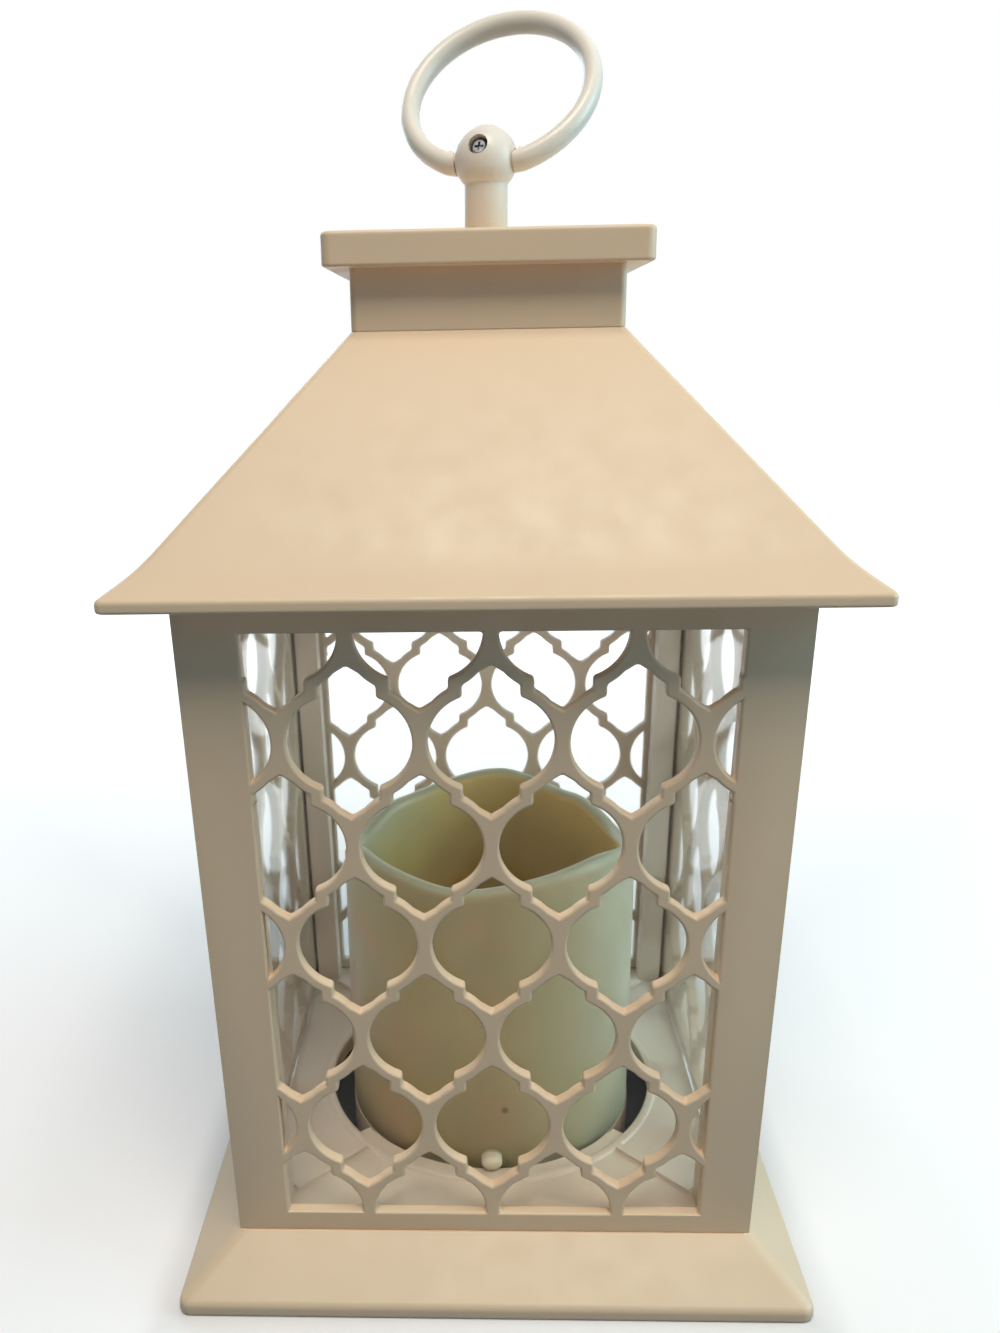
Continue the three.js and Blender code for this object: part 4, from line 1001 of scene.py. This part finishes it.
class LANTERN_OT_base(bpy.types.Operator):
    """Make the plinth and the floor tray, and dress the posts and the top frame"""

    bl_idname = "lantern.base"
    bl_label = "Make base"

    def execute(self, context):
        scene = context.scene
        plinth = plinth_piece(scene.lantern_base, scene.lantern_walls)
        shade(plinth, 50)
        even(plinth)
        fit(plinth, "lantern", "warm white plastic", "plinth")
        tray = tray_piece(scene.lantern_base, scene.lantern_walls)
        soften(tray, 0.2 * MM, 50)
        # The tray and the posts take the copy of the white plastic with painted shade
        fit(tray, "lantern", "cool white plastic", "floor_tray")
        posts = [f"corner_post_{corner}" for corner in CORNERS]
        refinish("cool white plastic", 0.3 * MM, *posts, "top_frame")
        return {"FINISHED"}


# Finial and ring handle

def finial_frame(ring, roof):
    """Place of the ball's middle, turned with the finial"""
    height = roof.cap_foot + roof.cap_height + ring.ball_rise
    return Matrix.Translation((0, 0, height)) @ spin(ring.finial_turn, "Z")


def lock_screw_axis(ring):
    """Turns the Z axis to the lock screw's direction"""
    return spin(QUARTER - ring.screw_rise, "X")


def finial_piece(ring, roof):
    """Post with a ball on it, a cross bore for the ring's pins and a recess for the lock screw"""
    ball, post = ring.ball, ring.post
    shoulder = -ring.ball_rise + GAP
    foot = -ring.ball_rise - roof.cap_plate - GAP
    fillet = 0.3 * MM
    waist = -math.sqrt(ball**2 - (post + fillet) ** 2)
    profile = [(0, foot), (ring.spigot, foot), (ring.spigot, shoulder)]
    profile += [(post - fillet, shoulder), (post, shoulder + fillet)]
    profile += [(post, waist - 1.6 * fillet), (post + 0.3 * fillet, waist - 0.5 * fillet)]
    profile += arc(0, 0, ball, -math.acos((post + fillet) / ball), QUARTER, 28)
    finial = turned("moulded_finial", profile, 72)
    bore = rod("bore", ring.pin + GAP, -2 * ball, 2 * ball)
    bore.data.transform(spin(QUARTER, "Y"))
    carve(finial, bore)
    recess = rod("recess", ring.screw_head + GAP, ball - ring.screw_depth - GAP, 2 * ball, 40)
    recess.data.transform(lock_screw_axis(ring))
    carve(finial, recess)
    finial.data.transform(finial_frame(ring, roof))
    return finial


def ring_piece(ring, roof):
    """Loop of oval section, open at the ball, with a collar and a pin at each end"""
    room = ring.ball + ring.clearance
    middle = Vector((0, 0, ring.radius - ring.drop))
    start = math.asin(room / ring.radius)
    steps = 120
    rings = []
    for i in range(steps + 1):
        angle = start + (2 * math.pi - 2 * start) * i / steps
        out = Vector((math.sin(angle), 0, -math.cos(angle)))
        loop = []
        for around in angles(24):
            point = middle + out * (ring.radius + ring.radial / 2 * math.cos(around))
            point.y += ring.axial / 2 * math.sin(around)
            if i in (0, steps):
                hug = math.sqrt(room**2 - point.y**2 - point.z**2)
                point.x = hug if i == 0 else -hug
            loop.append(point)
        rings.append(loop)
    handle = skinned("moulded_ring", rings)
    pin_start = 1.9 * MM
    collar_end = room + 2.2 * MM
    soft = 0.4 * MM
    profile = [
        (0, pin_start), (ring.pin - soft, pin_start), (ring.pin, pin_start + soft), (ring.pin, room),
        (ring.collar - soft, room), (ring.collar, room + soft), (ring.collar, collar_end - soft),
        (ring.collar - soft, collar_end), (0, collar_end),
    ]
    for side in (-1, 1):
        end = turned("end", profile, 40)
        end.data.transform(spin(side * QUARTER, "Y"))
        carve(handle, end, "UNION")
    handle.data.transform(finial_frame(ring, roof) @ spin(-ring.lean, "X"))
    return handle


class LANTERN_OT_ring(bpy.types.Operator):
    """Make the finial and the ring handle that swings in it"""

    bl_idname = "lantern.ring"
    bl_label = "Make ring handle"

    def execute(self, context):
        ring, roof = context.scene.lantern_ring, context.scene.lantern_roof
        for piece, body, node in (
            (finial_piece(ring, roof), "finial", "finial"),
            (ring_piece(ring, roof), "ring", "ring_handle"),
        ):
            shade(piece, 45)
            fit(piece, body, "pale plastic", node)
        refinish("plated steel", 0.15 * MM, "finial_washer")
        return {"FINISHED"}


# Screws

PAN_HEAD = 2.9 * MM
PAN_SHANK = 11 * MM
SCREW_HEAD = 1.8 * MM
SCREW_RADIUS = 1.3 * MM
THREAD_PITCH = 1.1 * MM
THREAD_DEPTH = 0.22 * MM


def threaded_shank(name, shank_length, sides=24, per_turn=8):
    """Shank with a real thread and a tapered tip, pointing down from z = 0"""
    count = int(shank_length / THREAD_PITCH * per_turn)
    rings = []
    for i in range(count + 1):
        z = -shank_length * (1 - i / count)
        taper = min(1.0, (z + shank_length) / (2 * MM) + 0.35)
        ring = []
        for angle in angles(sides):
            phase = (z / THREAD_PITCH - angle / (2 * math.pi)) % 1
            crest = max(0.0, 1 - abs(phase - 0.5) * 4)
            reach = (SCREW_RADIUS - THREAD_DEPTH * (1 - crest)) * taper
            ring.append((reach * math.cos(angle), reach * math.sin(angle), z))
        rings.append(ring)
    return skinned(name, rings)


def screw_piece(name, head_radius, shank_length):
    """Pan head with a cross recess on a threaded shank"""
    shank = threaded_shank(name, shank_length)
    sunk = -0.05 * MM
    soft = 0.15 * MM
    profile = [
        (0, sunk), (head_radius - soft, sunk), (head_radius, soft), (head_radius, SCREW_HEAD * 0.5),
        (head_radius * 0.93, SCREW_HEAD * 0.8), (head_radius * 0.72, SCREW_HEAD), (0, SCREW_HEAD),
    ]
    head = turned("head", profile, 40)
    long, short = head_radius * 0.55, head_radius * 0.14
    for x, y in ((long, short), (short, long)):
        carve(head, block("recess", (-x, -y, SCREW_HEAD * 0.4), (x, y, SCREW_HEAD * 2)))
    carve(shank, head, "UNION")
    return shank


class LANTERN_OT_screws(bpy.types.Operator):
    """Make the ten screws that hold the lantern together"""

    bl_idname = "lantern.screws"
    bl_label = "Make screws"

    def execute(self, context):
        ring, roof = context.scene.lantern_ring, context.scene.lantern_roof
        pan = screw_piece("pan_screw", PAN_HEAD, PAN_SHANK)
        jobs = [(f"foot_screw_{corner}", "lantern", True) for corner in CORNERS]
        jobs += [(f"frame_screw_{corner}", "lantern", False) for corner in CORNERS]
        jobs += [("finial_screw", "finial", True)]
        for node, body, upside in jobs:
            low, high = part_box(node)
            middle = ((low[0] + high[0]) / 2, (low[1] + high[1]) / 2)
            seat = low[2] + SCREW_HEAD if upside else high[2] - SCREW_HEAD
            place = Matrix.Translation((*middle, seat)) @ spin(math.pi if upside else 0, "X")
            screw = copied(pan, f"threaded_{node}", place)
            shade(screw)
            fit(screw, body, "plated steel", node)
        bpy.data.objects.remove(pan)
        seat = ring.ball - ring.screw_depth
        lock = screw_piece("threaded_lock_screw", ring.screw_head, seat + ring.pin + GAP)
        axis = finial_frame(ring, roof) @ lock_screw_axis(ring)
        lock.data.transform(axis @ Matrix.Translation((0, 0, seat)))
        shade(lock)
        fit(lock, "finial", "plated steel", "ring_lock_screw")
        return {"FINISHED"}


# Candle

# Heights of the melted rim in millimetres, as (degrees from +X, height)
RIM_POINTS = (
    (-195, 88), (-150, 96.5), (-105, 94.3), (-45, 98), (15, 89.5), (50, 94), (85, 98), (133, 93), (165, 88)
)


def rim_wave(angle, height):
    """Height that the melted rim adds at an angle round the candle, with a fine ripple"""
    degrees = math.degrees(angle)
    if degrees > RIM_POINTS[-1][0]:
        degrees -= 360
    for (start, low), (end, high) in zip(RIM_POINTS, RIM_POINTS[1:]):
        if start <= degrees <= end:
            share = (degrees - start) / (end - start)
            level = low + (high - low) * share * share * (3 - 2 * share)
    ripple = 0.18 * math.sin(5 * angle + 0.6) + 0.12 * math.sin(9 * angle + 1.9) - 0.3
    return (level + ripple) * MM - height


def pip_piece(candle, start, side):
    """Lock pip with a domed end, that points to the front or the rear"""
    end = candle.radius + candle.pip_reach
    straight = end - 1.9 * MM
    wide = candle.pip_width / 2
    dome = [(wide * x, straight + (end - straight) * y) for x, y in arc(0, 0, 1, 0, QUARTER, 10)[:-1]]
    pip = turned("pip", [(0, start), (wide, start), *dome, (0, end)], 40)
    pip.data.transform(Matrix.Diagonal((1, candle.pip_height / candle.pip_width, 1, 1)))
    pip.data.transform(spin(-side * QUARTER, "X"))
    return pip


def candle_shell(candle, tray_top):
    """Wax-like shell with a thick melted rim, slightly uneven sides and two lock pips on the tray"""
    bulge = 0.14 * MM
    outer = candle.radius - bulge - 0.01 * MM
    inner = candle.radius - candle.wall
    hollow = candle.radius - candle.rim_wall
    step = candle.pool_z + candle.pool + GAP
    lip = (outer - hollow) / 2
    lip_foot = candle.height - lip
    fade = candle.fade
    profile = [(outer, candle.foot), (outer, candle.foot + 1 * MM)]
    profile += [(outer, z) for z in run(candle.foot, fade, 10) + run(fade, lip_foot, 9)[:-1]]
    profile += arc(outer - lip, lip_foot, lip, 0, math.pi, 12)
    profile += [(hollow, z) for z in run(lip_foot, fade, 8)]
    profile += [(hollow, step), (inner, step), (inner, candle.foot)]
    rings = []
    for radius, z in profile:
        share = max(0.0, (z - fade) / (candle.height - fade))
        uneven = radius > inner + 0.01 * MM and z > candle.foot + 0.5 * MM
        ring = []
        for angle in angles(160):
            out = Vector((math.cos(angle), math.sin(angle), 0))
            place = out * radius
            place.z = z + share * rim_wave(angle, candle.height)
            if uneven:
                place += out * (noise.noise(place * 38) * bulge)
            ring.append(place)
        rings.append(ring)
    shell = skinned("wax_shell", rings, closed=True)
    for side in (-1, 1):
        pip = pip_piece(candle, outer - candle.wall / 2, side)
        pip.data.transform(Matrix.Translation((0, 0, tray_top + GAP + candle.pip_height / 2)))
        carve(shell, pip, "UNION")
    return shell


def pool_piece(candle):
    """Melted pool with a low meniscus at its edge and two standoffs for the board"""
    radius = candle.radius - candle.wall - GAP
    low = candle.pool_z
    high = low + candle.pool
    hole = 1.5 * MM
    profile = [(hole, low), (radius, low), (radius, high)]
    profile += [(radius - 0.8 * MM, high - 0.1 * MM), (radius - 3 * MM, high - 0.5 * MM)]
    profile += [(12 * MM, high - 0.3 * MM), (6.5 * MM, high), (hole, high)]
    pool = turned("wax_pool", profile, 96)
    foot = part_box("candle_pool")[0][2]
    for side in (-1, 1):
        standoff = rod("standoff", 2.6 * MM, foot, low + 0.5 * candle.pool)
        standoff.data.transform(Matrix.Translation((side * candle.standoff, 0, 0)))
        carve(pool, standoff, "UNION")
    return pool


def lens_piece(candle):
    """Lamp with a domed lens on a narrow stem"""
    low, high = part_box("led")
    dome = high[2] - candle.led
    shoulder = dome - 6 * MM
    stem = 1.2 * MM
    profile = [(0, low[2]), (stem, low[2]), (stem, shoulder), (candle.led, shoulder)]
    profile += arc(0, dome, candle.led, 0, QUARTER, 12)
    return turned("lamp_lens", profile, 40)


class LANTERN_OT_candle(bpy.types.Operator):
    """Make the candle's shell, its pool and its lamp, and dress its base and socket"""

    bl_idname = "lantern.candle"
    bl_label = "Make candle"

    def execute(self, context):
        scene = context.scene
        candle = scene.lantern_candle
        tray_top = scene.lantern_walls.foot_z + scene.lantern_base.tray
        for piece, angle, finish, node in (
            (candle_shell(candle, tray_top), 50, "wax-like plastic", "candle_shell"),
            (pool_piece(candle), 40, "wax-like plastic", "candle_pool"),
            (lens_piece(candle), 40, "amber lens", "led"),
        ):
            shade(piece, angle)
            fit(piece, "candle", finish, node)
        refinish("warm white plastic", 0.25 * MM, "candle_base")
        refinish("warm white plastic", 0.3 * MM, "led_socket")
        return {"FINISHED"}


# Works inside the candle

def battery_profile(radius, can, soft):
    """Profile of a dry cell from its flat end to its nub: the can's length and its rolled edges"""
    nub = 1.9 * MM
    nub_soft = 0.3 * MM
    end = can + 1 * MM
    return [
        (0, 0), (radius - soft * 2, 0), (radius - soft * 0.3, soft * 0.3), (radius, soft),
        (radius, can - soft), (radius - soft, can - soft * 0.2),
        (radius - soft * 1.6, can - soft * 0.6), (nub + nub_soft, can - soft * 0.4), (nub, can),
        (nub, end - 0.2 * MM), (nub - nub_soft, end), (0, end),
    ]


def bay_batteries():
    """Batteries with rolled edges, laid as the bay holds them"""
    for i in range(3):
        node = f"battery_{i + 1}"
        low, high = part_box(node)
        x, z = (low[0] + high[0]) / 2, (low[2] + high[2]) / 2
        profile = battery_profile((high[0] - low[0]) / 2, high[1] - low[1] - 1 * MM, 0.5 * MM)
        cell = turned(f"dry_cell_{i + 1}", profile, 48)
        facing = 1 if i % 2 == 0 else -1
        start = low[1] if facing > 0 else high[1]
        cell.data.transform(Matrix.Translation((x, start, z)) @ spin(-facing * QUARTER, "X"))
        shade(cell, 35)
        fit(cell, "candle", "battery wrap", node)


def board_part(name, finish, middle, size, rounding):
    """A small part that hangs from the board, with its middle and size in millimetres"""
    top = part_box("circuit_board")[0][2]
    (x, y), (width, depth, height) = middle, size
    low = ((x - width / 2) * MM, (y - depth / 2) * MM, top - height * MM)
    part = block(name, low, ((x + width / 2) * MM, (y + depth / 2) * MM, top), rounding * MM)
    fit(part, "candle", finish)
    return part


def board_parts():
    """A chip with its legs and four resistors, soldered on the underside of the board"""
    chip_y = -5.5
    shade(board_part("driver_chip", "black plastic", (0, chip_y), (6, 5, 1.4), 0.2))
    for side, row in ((-3, "front"), (3, "rear")):
        for k in range(4):
            middle = (1.45 * k - 2.2, chip_y + side)
            board_part(f"chip_leg_{row}_{k + 1}", "plated steel", middle, (0.5, 1.2, 0.5), 0.1)
    for k in range(4):
        board_part(f"chip_resistor_{k + 1}", "black plastic", (6 * k - 9, 4.7), (2, 1.4, 0.7), 0.15)


def leads():
    """Two leads from the battery bay to the board, bowed to the sides"""
    inset, bow, radius = 8 * MM, 13 * MM, 0.7 * MM
    for node, side, finish in (("lead_red", 1, "red insulation"), ("lead_black", -1, "black plastic")):
        low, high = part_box(node)
        foot, head = low[2], high[2]
        third = (head - foot) / 3
        corners = ((inset, foot), (inset, foot + third), (bow, head - third), (bow, head))
        route = []
        for t in [0, *run(0, 1, 32)]:
            weights = ((1 - t) ** 3, 3 * t * (1 - t) ** 2, 3 * t * t * (1 - t), t**3)
            route.append(sum((w * Vector((side * x, 0, z)) for w, (x, z) in zip(weights, corners)), Vector()))
        lead = swept(f"insulated_{node}", route, radius)
        shade(lead, 50)
        fit(lead, "candle", finish, node)


def door_piece():
    """Battery door with a round hinge edge, finger grooves and a snap nib"""
    low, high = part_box("battery_door")
    thickness = 1.6 * MM
    base = low[2]
    hinge_y, hinge_z = low[1] + thickness / 2, base + thickness / 2
    door = block("ribbed_door", (low[0], hinge_y, base), (high[0], high[1], base + thickness), 0.25 * MM)
    roller = rod("roller", thickness / 2, low[0], high[0])
    roller.data.transform(Matrix.Translation((0, hinge_y, hinge_z)) @ spin(QUARTER, "Y"))
    carve(door, roller, "UNION")
    groove, half_groove = 7 * MM, 0.45 * MM
    for k in range(5):
        y = high[1] - (6 + 2.2 * k) * MM
        groove_high = (groove, y + half_groove, base + half_groove)
        carve(door, block("groove", (-groove, y - half_groove, base - 1 * MM), groove_high))
    nib = 4 * MM
    nib_high = (nib, high[1] - 0.5 * MM, high[2])
    carve(door, block("nib", (-nib, high[1] - 1.3 * MM, hinge_z), nib_high), "UNION")
    return door


class LANTERN_OT_works(bpy.types.Operator):
    """Make the batteries, the board's parts, the leads and the door, and dress the contacts and the switch"""

    bl_idname = "lantern.works"
    bl_label = "Make works"

    def execute(self, context):
        bay_batteries()
        board_parts()
        leads()
        refinish("plated steel", 0.06 * MM, "contact_spring_1", "contact_spring_2", "contact_spring_3")
        refinish("plated steel", 0.08 * MM, "contact_plate_front", "contact_plate_rear")
        refinish("board mask", 0.15 * MM, "circuit_board")
        refinish("black plastic", 0.15 * MM, "switch_body")
        refinish("black plastic", 0.12 * MM, "switch_knob")
        door = door_piece()
        soften(door, 0.15 * MM)
        fit(door, "door", "warm white plastic", "battery_door")
        return {"FINISHED"}


# Stage

# Lamps as (name, place, width, colour), with their power under the same name in the stage's properties
LAMPS = (
    ("key", (0.06, -0.47, 1.12), 0.5, (1.0, 0.945, 0.84)),
    ("side", (0.9, -0.1, 0.42), 0.5, (0.52, 0.88, 1.0)),
    ("rear", (-0.45, 0.95, 0.6), 0.7, (0.62, 0.88, 1.0)),
)
LAMP_AIM = Vector((0, 0, 0.12))
SKY_COLOUR = (0.44, 0.78, 1.0, 1)
PLAIN_WHITE = (1, 1, 1, 1)

# Distances from the lantern's middle over which the floor's painted shade under the lantern ends, its lift
# starts and it whitens
PAINTED_SHADE_EDGE = (0.068, 0.074)
LIFT_EDGE = (0.073, 0.085)
WHITE_EDGE = (0.12, 0.7)
# Painted shade: near-black floor colour under the lantern, where the plinth's shade falls
PAINTED_SHADE_FLOOR = (0.03, 0.03, 0.03)


def seen_directly(tree):
    """1 for camera, glossy and transmission rays, and 0 for the rays that light the lantern"""
    rays = tree.nodes.new("ShaderNodeLightPath").outputs
    total = rays["Is Camera Ray"]
    for kind in ("Is Glossy Ray", "Is Transmission Ray"):
        total = number(tree, "MAXIMUM", total, rays[kind])
    return total


def floor_paint(name, stage):
    """Pale floor with painted shade under the lantern, white far off, and cool in what it throws back"""
    tree, shader, place = new_material(name)
    x, y, _ = parts_of(tree, vector(tree, "ABSOLUTE", place))
    reach = number(tree, "MAXIMUM", x, y)
    pale = shades(tree, speckle(tree, place, 3), tuple(stage.floor), 0.99, 1)
    # Painted shade: the floor turns near-black under the plinth
    tones = blend(tree, ranged(tree, reach, *PAINTED_SHADE_EDGE), PAINTED_SHADE_FLOOR, pale)
    fill(tree, shader, Base_Color=tones, Roughness=0.8)
    beside = ranged(tree, reach, *LIFT_EDGE, 0, stage.lift)
    far = ranged(tree, reach, *WHITE_EDGE, 0, 1 - stage.lift)
    glow = put(tree, "ShaderNodeEmission", Color=PLAIN_WHITE, Strength=number(tree, "ADD", beside, far))
    seen = tree.nodes.new("ShaderNodeAddShader")
    tree.links.new(shader.outputs[0], seen.inputs[0])
    tree.links.new(glow.outputs[0], seen.inputs[1])
    thrown = put(tree, "ShaderNodeBsdfDiffuse", Color=(*stage.bounce, 1))
    end_in_mix(tree, seen_directly(tree), thrown, seen)


class LANTERN_OT_stage(bpy.types.Operator):
    """Make the floor, the lamps, the world and the camera"""

    bl_idname = "lantern.stage"
    bl_label = "Make stage"

    def execute(self, context):
        scene = context.scene
        stage = scene.lantern_stage
        scene.view_settings.view_transform = "Standard"
        self.camera(scene, stage)
        self.floor(stage)
        self.world(scene, stage)
        for name, place, width, tone in LAMPS:
            self.lamp(scene, name, place, getattr(stage, name), width, tone)
        return {"FINISHED"}

    def camera(self, scene, stage):
        """Camera at the place and the turn that the stage's properties give"""
        data = bpy.data.cameras.new("camera")
        data.lens = stage.lens
        data.shift_x = stage.shift_x
        data.shift_y = stage.shift_y
        data.clip_start = 0.01
        camera = bpy.data.objects.new("camera", data)
        aim = spin(stage.yaw, "Z") @ spin(QUARTER - stage.pitch, "X") @ spin(stage.roll, "Z")
        camera.matrix_world = Matrix.Translation(stage.eye) @ aim
        scene.collection.objects.link(camera)
        scene.camera = camera

    def floor(self, stage):
        """Round floor just under the lantern"""
        bm = bmesh.new()
        bmesh.ops.create_circle(bm, cap_ends=True, radius=4, segments=96)
        floor = mesh_piece("floor", bm)
        floor_paint("floor paint", stage)
        dress(floor, "floor paint")
        floor.location.z = -0.02 * MM

    def world(self, scene, stage):
        """Faint cool light from all round, seen as plain white"""
        scene.world = bpy.data.worlds.new("studio")
        scene.world.use_nodes = True
        tree = scene.world.node_tree
        light = fill(tree, tree.nodes["Background"], Color=SKY_COLOUR, Strength=stage.sky)
        seen = put(tree, "ShaderNodeBackground", Color=PLAIN_WHITE, Strength=1)
        end_in_mix(tree, seen_directly(tree), light, seen, "World Output")

    def lamp(self, scene, name, place, power, width, tone):
        """Square lamp that points at the lantern"""
        data = bpy.data.lights.new(name, "AREA")
        data.energy = power
        data.size = width
        data.color = tone
        lamp = bpy.data.objects.new(name, data)
        lamp.location = place
        lamp.rotation_euler = (LAMP_AIM - Vector(place)).to_track_quat("-Z", "Y").to_euler()
        scene.collection.objects.link(lamp)


class LANTERN_PT_panel(bpy.types.Panel):
    """Lists the lantern's steps in the order that they run"""

    bl_label = "Lantern"
    bl_idname = "LANTERN_PT_panel"
    bl_space_type = "VIEW_3D"
    bl_region_type = "UI"
    bl_category = "Lantern"

    def draw(self, context):
        for step in STEPS:
            self.layout.operator(step.bl_idname)


STEPS = (
    LANTERN_OT_stage,
    LANTERN_OT_finishes,
    LANTERN_OT_walls,
    LANTERN_OT_roof,
    LANTERN_OT_base,
    LANTERN_OT_ring,
    LANTERN_OT_screws,
    LANTERN_OT_candle,
    LANTERN_OT_works,
)
GROUPS = {
    "lantern_walls": LANTERN_PG_walls,
    "lantern_roof": LANTERN_PG_roof,
    "lantern_base": LANTERN_PG_base,
    "lantern_ring": LANTERN_PG_ring,
    "lantern_candle": LANTERN_PG_candle,
    "lantern_finish": LANTERN_PG_finish,
    "lantern_stage": LANTERN_PG_stage,
}


def register():
    """Adds the classes, and the property groups to every scene"""
    for name, group in GROUPS.items():
        bpy.utils.register_class(group)
        setattr(bpy.types.Scene, name, PointerProperty(type=group))
    for step in STEPS:
        bpy.utils.register_class(step)
    bpy.utils.register_class(LANTERN_PT_panel)


def unregister():
    """Takes away what register added, in the opposite order"""
    bpy.utils.unregister_class(LANTERN_PT_panel)
    for step in reversed(STEPS):
        bpy.utils.unregister_class(step)
    for name, group in reversed(GROUPS.items()):
        delattr(bpy.types.Scene, name)
        bpy.utils.unregister_class(group)


def main():
    """Runs every step in order"""
    register()
    for step in STEPS:
        group, call = step.bl_idname.split(".")
        getattr(getattr(bpy.ops, group), call)()


if __name__ == "__main__":
    main()
